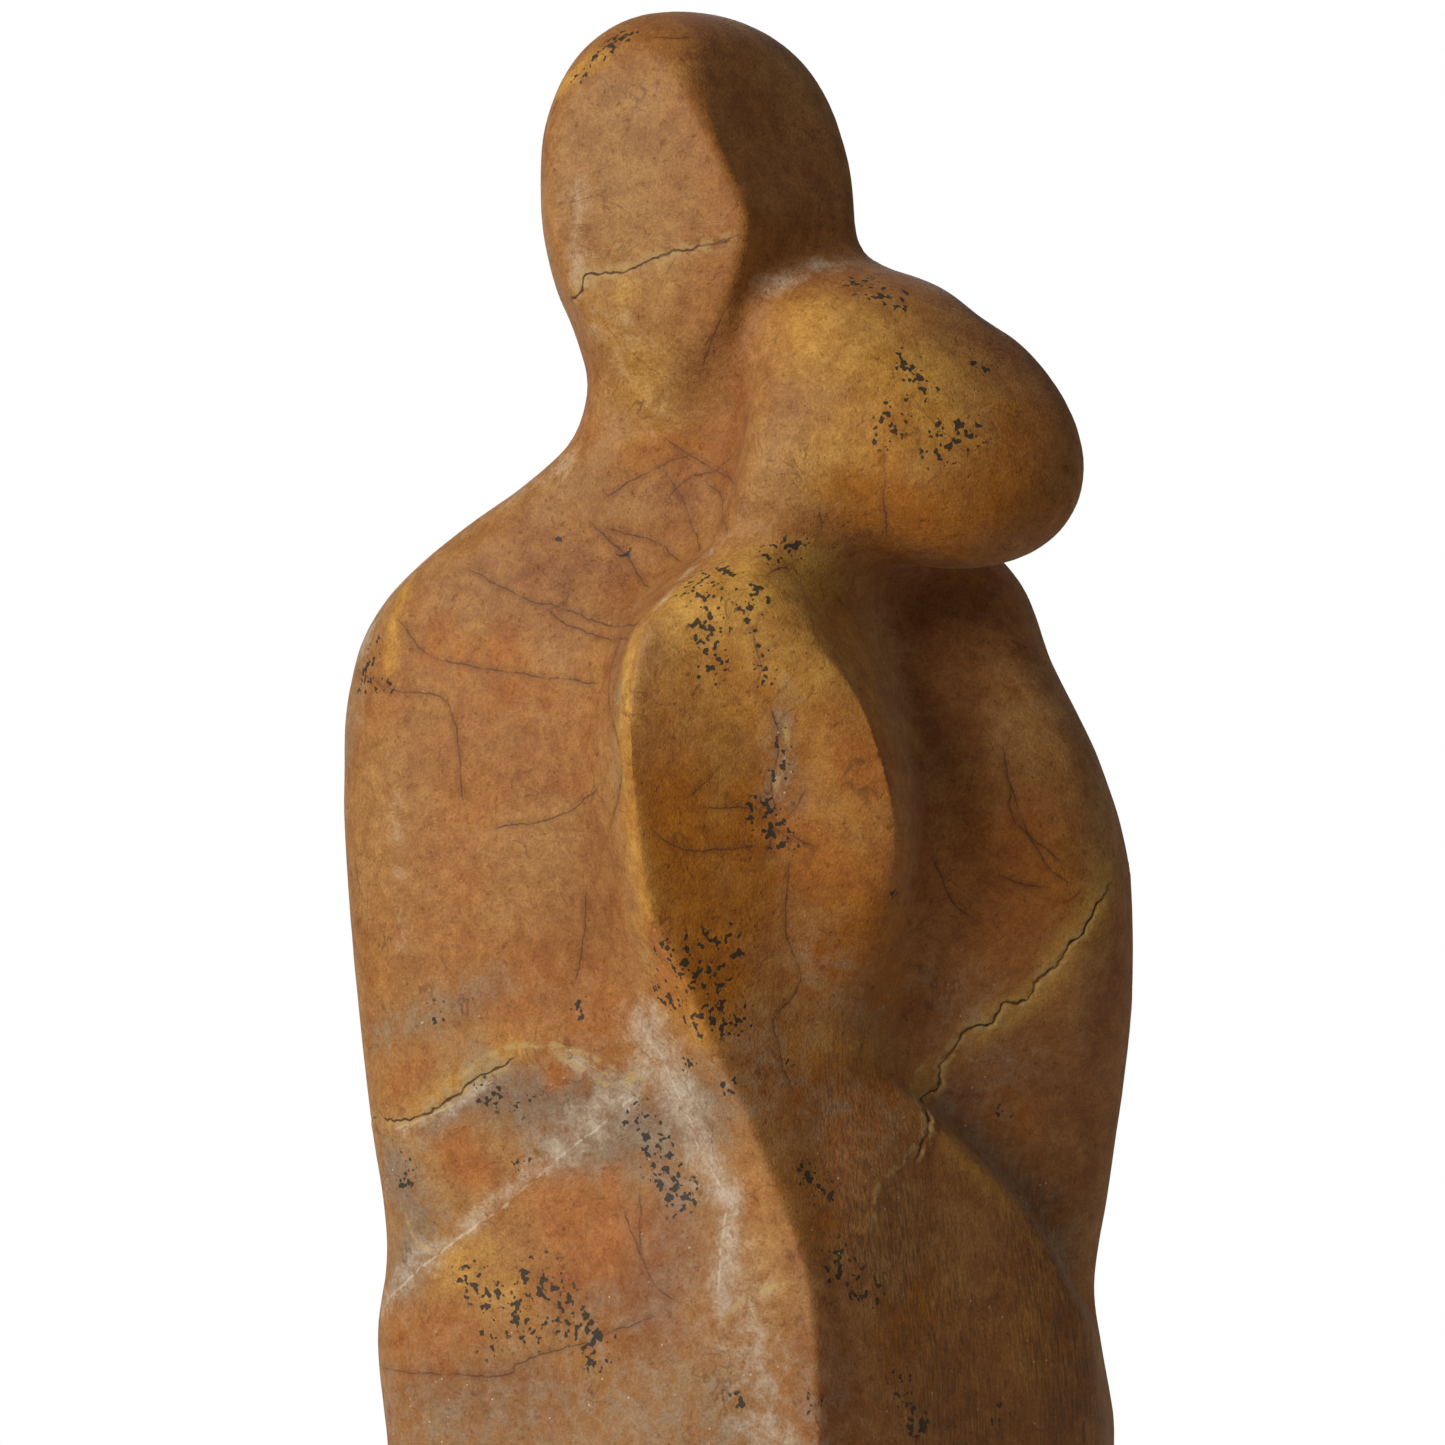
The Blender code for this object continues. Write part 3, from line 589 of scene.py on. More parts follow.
# The stone's colours. Tan, golden and russet also paint light and shade in some zones.
ORANGE = (0.342, 0.134, 0.032, 1)
TAN = (0.410, 0.205, 0.066, 1)
GOLDEN = (0.580, 0.300, 0.060, 1)
RUSSET = (0.250, 0.085, 0.024, 1)
AMBER = (0.390, 0.130, 0.010, 1)
FRESH = (0.400, 0.136, 0.030, 1)
GREY = (0.240, 0.172, 0.118, 1)
PALE = (0.540, 0.420, 0.310, 1)
VEIN_BROWN = (0.110, 0.040, 0.016, 1)
OCHRE = (0.480, 0.310, 0.110, 1)
HAIR_WHITE = (0.760, 0.640, 0.480, 1)
CRACK_BROWN = (0.095, 0.038, 0.014, 1)
DENDRITE_BLACK = (0.024, 0.026, 0.020, 1)
FLECK_WHITE = (0.800, 0.700, 0.560, 1)
RASP_BROWN = (0.130, 0.060, 0.024, 1)
# Each zone's attribute, tint and amount, and whether its edge flakes or is ragged. Some zones paint light and
# shade.
ZONE_TINTS = (
    ("tan_and_painted_light", TAN, 0.85, "ragged"), ("golden_and_painted_highlight", GOLDEN, 0.95, "ragged"), ("russet_and_painted_shade", RUSSET, 0.75, "ragged"),
    ("amber", AMBER, 0.95, "ragged"), ("grey", GREY, 0.80, "flaky"), ("fresh", FRESH, 0.85, "ragged"),
    ("pale", PALE, 0.65, "flaky"),
)
# What speckles, fine mottling and grain multiply the colour by, where they are darkest and lightest.
SPECKLE_TINTS = ((0.86, 0.80, 0.76, 1), (1.12, 1.17, 1.20, 1))
MOTTLE_TINTS = ((0.90, 0.87, 0.82, 1), (1.09, 1.10, 1.10, 1))
GRAIN_TINTS = ((0.88, 0.84, 0.80, 1), (1.08, 1.08, 1.08, 1))
PIT_TINT = (0.80, 0.72, 0.66, 1)

# Sizes of the stone's textures, in metres.
BROAD_MOTTLING = 0.055
MIDDLING_MOTTLING = 0.013
FINE_MOTTLING = 0.0028
GRAIN_SIZE = 0.0007
SPECKLE_SIZE = 0.0060
PIT_SIZE = 0.0019
WEB_SIZE = 0.030
WOBBLE_SIZE = 0.0014
BREAK_SIZE = 0.007
CRUMB_SIZE = 0.0030
FERN_SIZE = 0.0021
FERN_LOBE_SIZE = 0.0011
FLECK_SIZE = 0.0016
RASP_STREAK_SIZE = 0.0007
# Rasp marks are drawn out along the figure by this share, at this slant.
RASP_STRETCH = (1.0, 1.0, 0.06)
RASP_SLANT = (0.0, 0.35, 0.0)
BUMP_DEPTH = 0.0006
BUMP_STRENGTH = 0.45

FLOOR_RADIUS = 0.60
FLOOR_COLOR = (0.80, 0.80, 0.79, 1)
# Soft lamps: where each stands, how wide it is and its power in watts.
LAMPS = {
    "key": ((-1.66, -1.42, 1.20), 0.9, 52),
    "side": ((1.80, 0.40, 0.55), 1.2, 3.6),
    "back": ((-0.70, 1.90, 1.00), 1.4, 24),
}
LIGHT_FILL = 0.10
BACKGROUND = 1.0


def line(pairs):
    """The smooth curve through these (height, value) pairs, as a function of height."""
    heights, values = np.array(pairs, float).T
    slopes = np.gradient(values, heights)

    def value_at(height):
        low = np.clip(np.searchsorted(heights, height) - 1, 0, len(heights) - 2)
        span = heights[low + 1] - heights[low]
        t = np.clip((height - heights[low]) / span, 0, 1)
        start = (1 + 2 * t) * (1 - t) ** 2 * values[low]
        end = t * t * (3 - 2 * t) * values[low + 1]
        bend = t * (1 - t) * span * ((1 - t) * slopes[low] - t * slopes[low + 1])
        return start + end + bend

    return value_at


def joined(first, second, blend):
    """Union of two level sets, with a fillet about as wide as blend."""
    share = np.clip(0.5 + 0.5 * (second - first) / blend, 0, 1)
    return second + (first - second) * share - blend * share * (1 - share)


def cut(body, tool, blend):
    """What is left of body inside tool, with the edge rounded over about blend."""
    return -joined(-body, -tool, blend)


def oval_level(offsets, radii, squareness):
    """Roughly the distance to an oval body whose radii may differ from place to place."""
    shares = [np.abs(offset) / radius for offset, radius in zip(offsets, radii)]
    reach = sum(share**squareness for share in shares) ** (1 / squareness)
    reach = np.maximum(reach, 1e-3)
    steepness = np.sqrt(
        sum((share ** (squareness - 1) / radius) ** 2 for share, radius in zip(shares, radii))
    )
    steepness = np.maximum(steepness / reach ** (squareness - 1), 1e-3)
    return (reach - 1) / steepness


def domed_column(place, sides, top, dome, squareness):
    """A column of oval sections that closes in a dome. Its sides are left, right, front, back and middle."""
    x, y, z = place
    left, right, front, back, middle = (line(side)(z) for side in sides)
    depth = np.where(y < middle, middle - front, back - middle)
    offsets = (x - (left + right) / 2, y - middle, np.maximum(z - (top - dome), 0))
    return oval_level(offsets, ((right - left) / 2, depth, dome), squareness)


def two_planes(place, ridge_x, depth, middle, slopes, edge):
    """A left plane, depth at its middle, and a right plane that turns off from it along the ridge."""
    x, y, z = place
    left_slope, right_slope = slopes
    ridge = line(ridge_x)(z)
    left = line(depth)(z) + left_slope * (middle - x)
    right = line(depth)(z) + left_slope * (middle - ridge) + right_slope * (x - ridge)
    left_level = (left - y) / np.hypot(1, left_slope)
    right_level = (right - y) / np.hypot(1, right_slope)
    return cut(left_level, right_level, edge)


def tall_head(place):
    sides = (HEAD_LEFT, HEAD_RIGHT, HEAD_FRONT, HEAD_BACK, HEAD_MIDDLE)
    egg = domed_column(place, sides, HEAD_TOP, HEAD_DOME, HEAD_SQUARENESS)
    edge, bevel = line(FACE_EDGE)(place[2]), line(FACE_BEVEL)(place[2])
    planes = two_planes(place, FACE_RIDGE_X, FACE_DEPTH, FACE_MIDDLE, FACE_SLOPES, edge)
    return cut(egg, planes, bevel)


def child_head(place):
    x, y, z = (along - centre for along, centre in zip(place, CHILD_HEAD_CENTRE))
    tilt = np.radians(CHILD_HEAD_TILT)
    along = x * np.cos(tilt) - z * np.sin(tilt)
    upward = x * np.sin(tilt) + z * np.cos(tilt)
    y = y + CHILD_HEAD_LEAN[0] * x - CHILD_HEAD_LEAN[1] * z
    egg = oval_level((along, y, upward), CHILD_HEAD_RADII, 2.0)
    egg = joined(egg, oval(place, CHILD_NECK_CENTRE, CHILD_NECK_RADII), BLEND_CHILD_HEAD)
    planes = two_planes(
        place, CHILD_FACE_RIDGE_X, CHILD_FACE_DEPTH, CHILD_FACE_MIDDLE, CHILD_FACE_SLOPES, CHILD_FACE_EDGE
    )
    egg = cut(egg, planes, CHILD_FACE_EDGE)
    egg = cut(egg, line(CHILD_LEFT_WALL_X)(place[2]) - place[0], CHILD_WALL_EDGE)
    from_dent = sum((along - centre) ** 2 for along, centre in zip(place, CHILD_DENT))
    return egg + CHILD_DENT_DEPTH * np.exp(-from_dent / CHILD_DENT_SIZE**2)


def oval(place, centre, radii):
    return oval_level([along - middle for along, middle in zip(place, centre)], radii, 2.0)


def lap(place):
    x, y, z = place
    egg = oval(place, LAP_CENTRE, LAP_RADII)
    front = line(LAP_DEPTH)(z) + LAP_SLOPE * (x - LAP_CENTRE[0]) - y
    egg = cut(egg, front / np.hypot(1, LAP_SLOPE), LAP_EDGE)
    return cut(egg, x - line(LAP_RIGHT_X)(z), LAP_EDGE)


def carved_face(place, lines, side_slope):
    """One face of the body: straight between its lines and turned softly at each. Negative behind it."""
    x, y, z = place
    across = [line(x_line)(z) for x_line, _, _ in lines]
    depth = [line(depth_line)(z) for _, depth_line, _ in lines]
    pairs = range(len(lines) - 1)
    slopes = [(depth[i + 1] - depth[i]) / (across[i + 1] - across[i]) for i in pairs]
    slopes = [-side_slope, *slopes, side_slope]
    surface = depth[0] + slopes[0] * (x - across[0])
    steepness = slopes[0]
    for i, (_, _, softness) in enumerate(lines):
        past = x - across[i]
        reach = np.hypot(past, line(softness)(z) if isinstance(softness, tuple) else softness)
        turn = slopes[i + 1] - slopes[i]
        surface = surface + turn * (past + reach) / 2
        steepness = steepness + turn * (1 + past / reach) / 2
    return (surface - y) / np.hypot(1, steepness)


def body(place):
    """The joined bodies: an oval column with a carved front and back."""
    x, y, z = place
    sides = (BODY_LEFT, BODY_RIGHT, BODY_FRONT, BODY_BACK, BODY_MIDDLE)
    column = domed_column(place, sides, BODY_TOP, BODY_DOME, BODY_SQUARENESS)
    column = cut(column, carved_face((x, -y, z), BACK_LINES, BACK_SIDE_SLOPE), BACK_EDGE)
    front = joined(carved_face(place, FRONT_LINES, FRONT_SIDE_SLOPE), lap(place), BLEND_LAP)
    return cut(column, front, FRONT_EDGE)


def figure(place):
    """Level set of the figures above the base, in thousandths."""
    level = joined(body(place), tall_head(place), BLEND_NECK)
    return joined(level, child_head(place), BLEND_CHILD_HEAD)


def base(place):
    """Level set of the low base, in thousandths: the foot's section, set out by a margin."""
    x, y, height_above_top = place
    side = body((x, y, np.zeros_like(height_above_top))) - BASE_MARGIN / THOUSANDTH
    return cut(side, height_above_top, BASE_EDGE_ROUNDING / THOUSANDTH)


def carving(points):
    """Level set of the whole carving at points in metres, in metres."""
    x, y, z = points
    place = (x / THOUSANDTH, y / THOUSANDTH, (z - BASE_HEIGHT) / THOUSANDTH)
    return joined(figure(place), base(place), FOOT_FILLET / THOUSANDTH) * THOUSANDTH


def settled(points):
    """The points moved onto the surface, and the way that it faces at each."""
    step = 0.1 * MESH_SPACING
    for _ in range(SETTLING_ROUNDS):
        level = carving(points.T)
        slope = np.empty_like(points)
        for axis in range(3):
            ahead = points.copy()
            ahead[:, axis] += step
            slope[:, axis] = (carving(ahead.T) - level) / step
        move = slope * (level / np.maximum((slope**2).sum(axis=1), 0.1))[:, None]
        points = points - np.clip(move, -MESH_SPACING, MESH_SPACING)
    return points, slope / np.linalg.norm(slope, axis=1)[:, None]


def coarse_mesh():
    """The whole carving's surface as a closed mesh, which runs on a little below the ground."""
    low = np.array(GRID_LOW) * FIGURE_HEIGHT - (0, 0, GROUND_CUT_DEPTH)
    high = np.array(GRID_HIGH) * FIGURE_HEIGHT + (0, 0, BASE_HEIGHT)
    steps = np.ceil((high - low) / MESH_SPACING).astype(int)
    axes = [low[axis] + MESH_SPACING * np.arange(steps[axis] + 1) for axis in range(3)]
    x, y, z = np.meshgrid(*axes, indexing="ij", sparse=True)
    grid = openvdb.FloatGrid(MESH_SPACING)
    grid.copyFromArray(np.maximum(carving((x, y, z)), low[2] + MESH_SPACING - z))
    grid.transform = openvdb.createLinearTransform(voxelSize=MESH_SPACING)
    points, quads = grid.convertToQuads()
    points = points + low
    mesh = bpy.data.meshes.new("mother_and_child_stone")
    mesh.from_pydata(points, [], quads[:, ::-1])
    mesh.validate()
    return mesh


def vertex_places(mesh):
    places = np.empty(3 * len(mesh.vertices))
    mesh.vertices.foreach_get("co", places)
    return places.reshape(-1, 3)


def place_vertices(mesh, places):
    mesh.vertices.foreach_set("co", places.ravel())
    mesh.update()


def settle_mesh(mesh):
    """Moves the mesh onto the surface, apart from its underside, and returns the way each vertex faces."""
    places = vertex_places(mesh)
    facing = np.tile((0.0, 0.0, -1.0), (len(places), 1))
    above = places[:, 2] > 0.5 * MESH_SPACING
    places[above], facing[above] = settled(places[above])
    place_vertices(mesh, places)
    return facing


def cut_underside(mesh):
    """Cuts the mesh off flat at the ground."""
    shape = bmesh.new()
    shape.from_mesh(mesh)
    geometry = [*shape.verts, *shape.edges, *shape.faces]
    bmesh.ops.bisect_plane(
        shape, geom=geometry, dist=1e-6, plane_co=(0, 0, 0), plane_no=(0, 0, 1), clear_inner=True
    )
    rim = [edge for edge in shape.edges if edge.is_boundary]
    bmesh.ops.triangle_fill(shape, use_beauty=True, edges=rim, normal=(0, 0, -1))
    shape.to_mesh(mesh)
    shape.free()


def refine(mesh, facing, marks, reach):
    """Splits the faces that lie by a mark or over a bend."""
    places = vertex_places(mesh)
    near = np.array([marks.find(place)[2] < reach for place in places])
    shape = bmesh.new()
    shape.from_mesh(mesh)
    edges = set()
    for face in shape.faces:
        corners = [vertex.index for vertex in face.verts]
        if facing[corners[0]][2] < UNDERSIDE:
            continue
        bend = 1 - (facing[corners] @ facing[corners].T).min()
        if near[corners].any() or bend > REFINED_FROM_BEND**2 / 2:
            edges.update(face.edges)
    bmesh.ops.subdivide_edges(shape, edges=list(edges), cuts=1, use_grid_fill=True)
    shape.to_mesh(mesh)
    shape.free()


def seen_at(surface, u, v):
    """The place on the surface that the photograph shows at this pixel, or the nearest to it."""
    middle = PHOTO_PIXELS / 2
    camera = Vector((CAMERA_X, -CAMERA_DISTANCE, CAMERA_Z))
    ray = Vector(((u - middle) * PIXEL, CAMERA_DISTANCE, (middle - v) * PIXEL))
    hit = surface.ray_cast(camera, ray)[0]
    return hit or surface.find_nearest(camera + ray)[0]


def found_round(surface, turn, height):
    """The place on the surface at this turn round the figure, in degrees to the right, and this height."""
    out = Vector((np.sin(np.radians(turn)), -np.cos(np.radians(turn)), 0))
    axis = Vector((0, 0, height))
    return surface.ray_cast(axis + out, -out)[0]


def stops_of(surface, kind, route):
    """The places on the surface of a route's stops."""
    find = {"photo": seen_at, "round": found_round}[kind]
    return [find(surface, *stop) for stop in zip(route[::2], route[1::2])]


def traced(surface, kind, route, wander):
    """A route over the surface through its stops, which wanders a little between them."""
    stops = stops_of(surface, kind, route)
    ends = [2 * stops[0] - stops[1], *stops, 2 * stops[-1] - stops[-2]]
    places = []
    for before, start, end, after in zip(ends, ends[1:], ends[2:], ends[3:]):
        count = max(2, round((end - start).length / ROUTE_STEP))
        for t in np.arange(count) / count:
            bend = (end - before) / 2 * (t**3 - 2 * t * t + t) + (after - start) / 2 * (t**3 - t * t)
            places.append(start * (2 * t**3 - 3 * t * t + 1) + end * (3 * t * t - 2 * t**3) + bend)
    places.append(stops[-1])
    for i, place in enumerate(places):
        shift = noise.noise_vector(place / LONG_WANDER) + 0.5 * noise.noise_vector(place / SHORT_WANDER)
        places[i] = surface.find_nearest(place + wander * shift)[0]
    return np.array(places)


def routes_of(surface, table, wander):
    return [traced(surface, kind, route, wander) for kind in table for route in table[kind]]


def beside(places, facing, route):
    """Each place's distance to the route, signed by its side, and how strong the mark is there."""
    reach = FAR_OFF
    offsets = np.full(len(places), reach)
    strengths = np.zeros(len(places))
    inside = ((places > route.min(axis=0) - reach) & (places < route.max(axis=0) + reach)).all(axis=1)
    local = places[inside]
    out = facing[inside]
    nearest = np.full(len(local), reach)
    side = np.ones(len(local))
    along = np.zeros(len(local))
    for i, (start, end) in enumerate(zip(route, route[1:])):
        run = end - start
        offset = local - start
        share = np.clip(offset @ run / max(run @ run, 1e-12), 0, 1)
        gap = offset - share[:, None] * run
        distance = np.linalg.norm(gap, axis=1)
        nearer = distance < nearest
        nearest[nearer] = distance[nearer]
        side[nearer] = np.sign((np.cross(run, gap[nearer]) * out[nearer]).sum(axis=1))
        along[nearer] = (i + share[nearer]) / (len(route) - 1)
    taper = np.clip(np.minimum(along, 1 - along) * len(route) * ROUTE_STEP / FADING_END, 0, 1)
    offsets[inside] = nearest * side
    strengths[inside] = taper * np.clip(2 - 2 * nearest / reach, 0, 1)
    return offsets, strengths


def distance_to(places, route):
    """Each place's distance to a route or a point."""
    nearest = np.linalg.norm(places - route[0], axis=1)
    for start, end in zip(route, route[1:]):
        run = end - start
        offset = places - start
        share = np.clip(offset @ run / max(run @ run, 1e-12), 0, 1)
        nearest = np.minimum(nearest, np.linalg.norm(offset - share[:, None] * run, axis=1))
    return nearest


def bell(offsets, width):
    return np.exp(-((offsets / width) ** 2))


def zone_mask(surface, places, zones):
    """How far each place lies in one of these zones, from 0 to 1."""
    mask = np.zeros(len(places))
    for kind, rows in zones.items():
        for radius, strength, route in rows:
            distance = distance_to(places, np.array(stops_of(surface, kind, route)))
            mask = np.maximum(mask, strength * bell(distance, radius * MM))
    return mask


def vein_sets(routes):
    """Shares routes out to a few sets, so that no two in one set come close."""
    sets = [[] for _ in range(VEIN_SETS)]
    for route in routes:
        def room(chosen):
            gaps = [np.linalg.norm(route[:, None] - other[None], axis=2).min() for other in chosen]
            return min(gaps, default=1.0)
        max(sets, key=room).append(route)
    return sets


def marks_beside(places, facing, routes):
    """The nearest route's signed distance and strength at each place."""
    offsets = np.full(len(places), FAR_OFF)
    strengths = np.zeros(len(places))
    for route in routes:
        offset, strength = beside(places, facing, route)
        nearer = np.abs(offset) < np.abs(offsets)
        offsets[nearer] = offset[nearer]
        strengths[nearer] = strength[nearer]
    return offsets, strengths


def ripple(places, size):
    """Smooth noise between about -1 and 1, with bumps of this size."""
    return np.array([noise.noise(Vector(place) / size) for place in places])


def add_attribute(mesh, name, values):
    attribute = mesh.attributes.new(name, "FLOAT", "POINT")
    attribute.data.foreach_set("value", values.astype(np.float32))


def add_line(mesh, name, offsets, strengths):
    """Stores the signed distance in millimetres to lines of this name, and how strong they are."""
    add_attribute(mesh, f"{name}_offset", offsets / MM)
    add_attribute(mesh, f"{name}_strength", strengths)


def add_marks(mesh, surface, facing, veins, ochre, hairs, cracks):
    """Stores where the marks lie on the mesh. Returns the relief that they and the hand's work give."""
    places = vertex_places(mesh)
    relief = sum(depth * ripple(places, size) for size, depth in HAND_WORK)
    for i, routes in enumerate(vein_sets(veins)):
        offsets, strengths = marks_beside(places, facing, routes)
        add_line(mesh, f"vein_{i}", offsets, strengths)
        relief -= VEIN_GROOVE * strengths * bell(offsets, MARK_HALF_WIDTH)
    add_line(mesh, "hair", *marks_beside(places, facing, hairs))
    offsets, strengths = marks_beside(places, facing, ochre)
    add_line(mesh, "ochre", offsets, strengths)
    crusted = np.clip(0.6 + 1.6 * ripple(places, CRUST_SIZE), 0, 1.4)
    relief += OCHRE_RIDGE * strengths * crusted * bell(offsets, 2 * MARK_HALF_WIDTH)
    offsets, strengths = marks_beside(places, facing, [route for _, _, route in cracks])
    jagged = CRACK_JAG * ripple(places, CRACK_JAG_SIZE)
    add_line(mesh, "crack", offsets + jagged, strengths)
    for depth, lip, route in cracks:
        offsets, strengths = beside(places, facing, route)
        offsets = offsets + jagged
        groove = bell(offsets, MARK_HALF_WIDTH) * np.minimum(crusted + 0.3, 1)
        rim = bell(offsets - LIP_OFFSET, LIP_HALF_WIDTH) * crusted
        relief += strengths * (lip * rim - depth * groove)
    masks = {name: zone_mask(surface, places, zones) for name, zones in ZONES.items()}
    for name, mask in masks.items():
        add_attribute(mesh, name, mask)
    return relief + WORN_PITS * masks["pale"] * ripple(places, WORN_PIT_SIZE)


def stone_piece():
    """The carving as one fine mesh, with its cracks and veins cut in and the places of its marks on it."""
    mesh = coarse_mesh()
    cut_underside(mesh)
    facing = settle_mesh(mesh)
    surface = BVHTree.FromPolygons(vertex_places(mesh).tolist(), [p.vertices[:] for p in mesh.polygons])
    veins = routes_of(surface, DARK_VEINS, LINE_WANDER)
    ochre = routes_of(surface, OCHRE_VEINS, OCHRE_WANDER)
    hairs = routes_of(surface, HAIRLINES, LINE_WANDER)
    cracks = [
        (depth * MM, lip * MM, traced(surface, kind, route, CRACK_WANDER))
        for kind in CRACKS for depth, lip, route in CRACKS[kind]
    ]
    stops = np.concatenate([*veins, *ochre, *hairs, *(route for _, _, route in cracks)])
    marks = kdtree.KDTree(len(stops))
    for i, stop in enumerate(stops):
        marks.insert(stop, i)
    marks.balance()
    for reach in REFINED_BESIDE_MARKS:
        refine(mesh, facing, marks, reach)
        facing = settle_mesh(mesh)
    relief = add_marks(mesh, surface, facing, veins, ochre, hairs, cracks)
    relief[facing[:, 2] < UNDERSIDE] = 0
    places = vertex_places(mesh)
    rise = np.clip(places[:, 2] / RELIEF_RISE, 0, 1)
    place_vertices(mesh, places + facing * (relief * rise)[:, None])
    mesh.shade_smooth()
    mesh.set_sharp_from_angle(angle=np.radians(SHARP_EDGE_DEGREES))
    return mesh


class Paint:
    """A material's nodes, added by short calls."""

    def __init__(self, name):
        self.material = bpy.data.materials.new(name)
        self.material.use_nodes = True
        self.tree = self.material.node_tree
        self.shader = self.tree.nodes["Principled BSDF"]
        self.place = self.node("ShaderNodeTexCoord").outputs["Object"]

    def put(self, socket, value):
        if isinstance(value, bpy.types.NodeSocket):
            self.tree.links.new(value, socket)
        else:
            socket.default_value = value

    def node(self, kind, inputs=None, **settings):
        made = self.tree.nodes.new(kind)
        for name, value in settings.items():
            setattr(made, name, value)
        for name, value in (inputs or {}).items():
            self.put(made.inputs[name], value)
        return made

    def attribute(self, name):
        return self.node("ShaderNodeAttribute", attribute_name=name).outputs["Fac"]

    def math(self, operation, *values):
        made = self.node("ShaderNodeMath", operation=operation)
        for socket, value in zip(made.inputs, values):
            self.put(socket, value)
        return made.outputs[0]

    def times(self, first, second):
        return self.math("MULTIPLY", first, second)

    def scaled(self, value, by, plus):
        return self.math("MULTIPLY_ADD", value, by, plus)

    def spread(self, value, low, high, bottom=0.0, top=1.0):
        """The value's run from low to high, as a soft run from bottom to top."""
        inputs = {"Value": value, "From Min": low, "From Max": high, "To Min": bottom, "To Max": top}
        return self.node("ShaderNodeMapRange", inputs, interpolation_type="SMOOTHSTEP").outputs[0]

    def noise(self, size, detail=2.0, roughness=0.5, place=None, distortion=0.0):
        inputs = {
            "Vector": place or self.place, "Scale": 1 / size, "Detail": detail,
            "Roughness": roughness, "Distortion": distortion,
        }
        return self.node("ShaderNodeTexNoise", inputs).outputs["Fac"]

    def cells(self, size):
        return self.node("ShaderNodeTexVoronoi", {"Vector": self.place, "Scale": 1 / size})

    def stretched(self, scale, turn):
        inputs = {"Vector": self.place, "Rotation": turn, "Scale": scale}
        return self.node("ShaderNodeMapping", inputs).outputs[0]

    def mix(self, factor, first, second, blend="MIX"):
        made = self.node("ShaderNodeMix", data_type="RGBA", blend_type=blend)
        self.put(made.inputs[0], factor)
        self.put(made.inputs[6], first)
        self.put(made.inputs[7], second)
        return made.outputs[2]

    def tinted(self, color, tint):
        return self.mix(1.0, color, tint, "MULTIPLY")

    def beside(self, name, wobble, amount=1.0):
        """Distance in millimetres to lines of this name, as the wobble bends them."""
        return self.math("ABSOLUTE", self.scaled(wobble, amount, self.attribute(f"{name}_offset")))

    def strength(self, name, gaps):
        """How strong lines of this name are, apart from where they are broken."""
        return self.times(self.attribute(f"{name}_strength"), gaps)


def mottled_stone(paint, middling, mottled, grain, pits):
    """The stone's colour, with its zones, speckles and pits, and the light and shade that some zones paint.
    """
    broad = paint.noise(BROAD_MOTTLING, 3, 0.55)
    speckled = paint.noise(SPECKLE_SIZE, 5, 0.72, distortion=0.4)
    color = paint.mix(paint.spread(broad, 0.40, 0.70, 0, 0.8), ORANGE, TAN)
    color = paint.mix(paint.spread(middling, 0.50, 0.75, 0, 0.55), color, RUSSET)
    edges = {"ragged": paint.scaled(middling, 1.4, -0.7), "flaky": paint.scaled(speckled, 2.0, -1.0)}
    for name, tint, amount, edge in ZONE_TINTS:
        mask = paint.attribute(name)
        uneven = paint.scaled(edges[edge], paint.spread(mask, 0.0, 0.3), mask)
        color = paint.mix(paint.spread(uneven, 0.05, 1.05, 0, amount), color, tint)
    color = paint.tinted(color, paint.mix(paint.spread(speckled, 0.34, 0.66), *SPECKLE_TINTS))
    color = paint.tinted(color, paint.mix(paint.spread(mottled, 0.3, 0.7), *MOTTLE_TINTS))
    color = paint.tinted(color, paint.mix(paint.spread(grain, 0.3, 0.7), *GRAIN_TINTS))
    return paint.mix(pits, color, paint.tinted(color, PIT_TINT))


def with_lines(paint, color, middling):
    """The colour with a faint web, dark veins, ochre lines, white hairlines and cracks over it."""
    web = paint.noise(WEB_SIZE, 4, 0.55, distortion=0.8)
    web = paint.spread(paint.math("ABSOLUTE", paint.math("SUBTRACT", web, 0.5)), 0.009, 0.0)
    color = paint.mix(paint.times(web, paint.spread(middling, 0.42, 0.62, 0, 0.5)), color, VEIN_BROWN)

    wobble = paint.scaled(paint.noise(WOBBLE_SIZE, 3, 0.6), 1.0, -0.5)
    broken = paint.spread(paint.noise(BREAK_SIZE, 3, 0.6), 0.30, 0.56, 0.45, 1.0)
    crumbling = paint.spread(paint.noise(CRUMB_SIZE, 3, 0.65), 0.40, 0.56)
    for i in range(VEIN_SETS):
        offset = paint.beside(f"vein_{i}", wobble)
        core = paint.spread(offset, 0.38, 0.06)
        halo = paint.spread(offset, 2.0, 0.0, 0, 0.30)
        shown = paint.times(paint.math("MAXIMUM", core, halo), paint.strength(f"vein_{i}", broken))
        color = paint.mix(paint.times(shown, 0.85), color, VEIN_BROWN)
    shown = paint.spread(paint.beside("ochre", wobble), 1.1, 0.2, 0, 0.8)
    color = paint.mix(paint.times(shown, paint.strength("ochre", crumbling)), color, OCHRE)
    shown = paint.spread(paint.beside("hair", wobble), 0.45, 0.05, 0, 0.45)
    color = paint.mix(paint.times(shown, paint.strength("hair", crumbling)), color, HAIR_WHITE)
    crust = paint.spread(paint.beside("crack", wobble, 2.0), 2.8, 0.6, 0, 0.65)
    color = paint.mix(paint.times(crust, paint.strength("crack", crumbling)), color, OCHRE)
    core = paint.spread(paint.beside("crack", wobble, 0.4), 0.50, 0.12)
    return paint.mix(paint.times(core, paint.strength("crack", broken)), color, CRACK_BROWN)


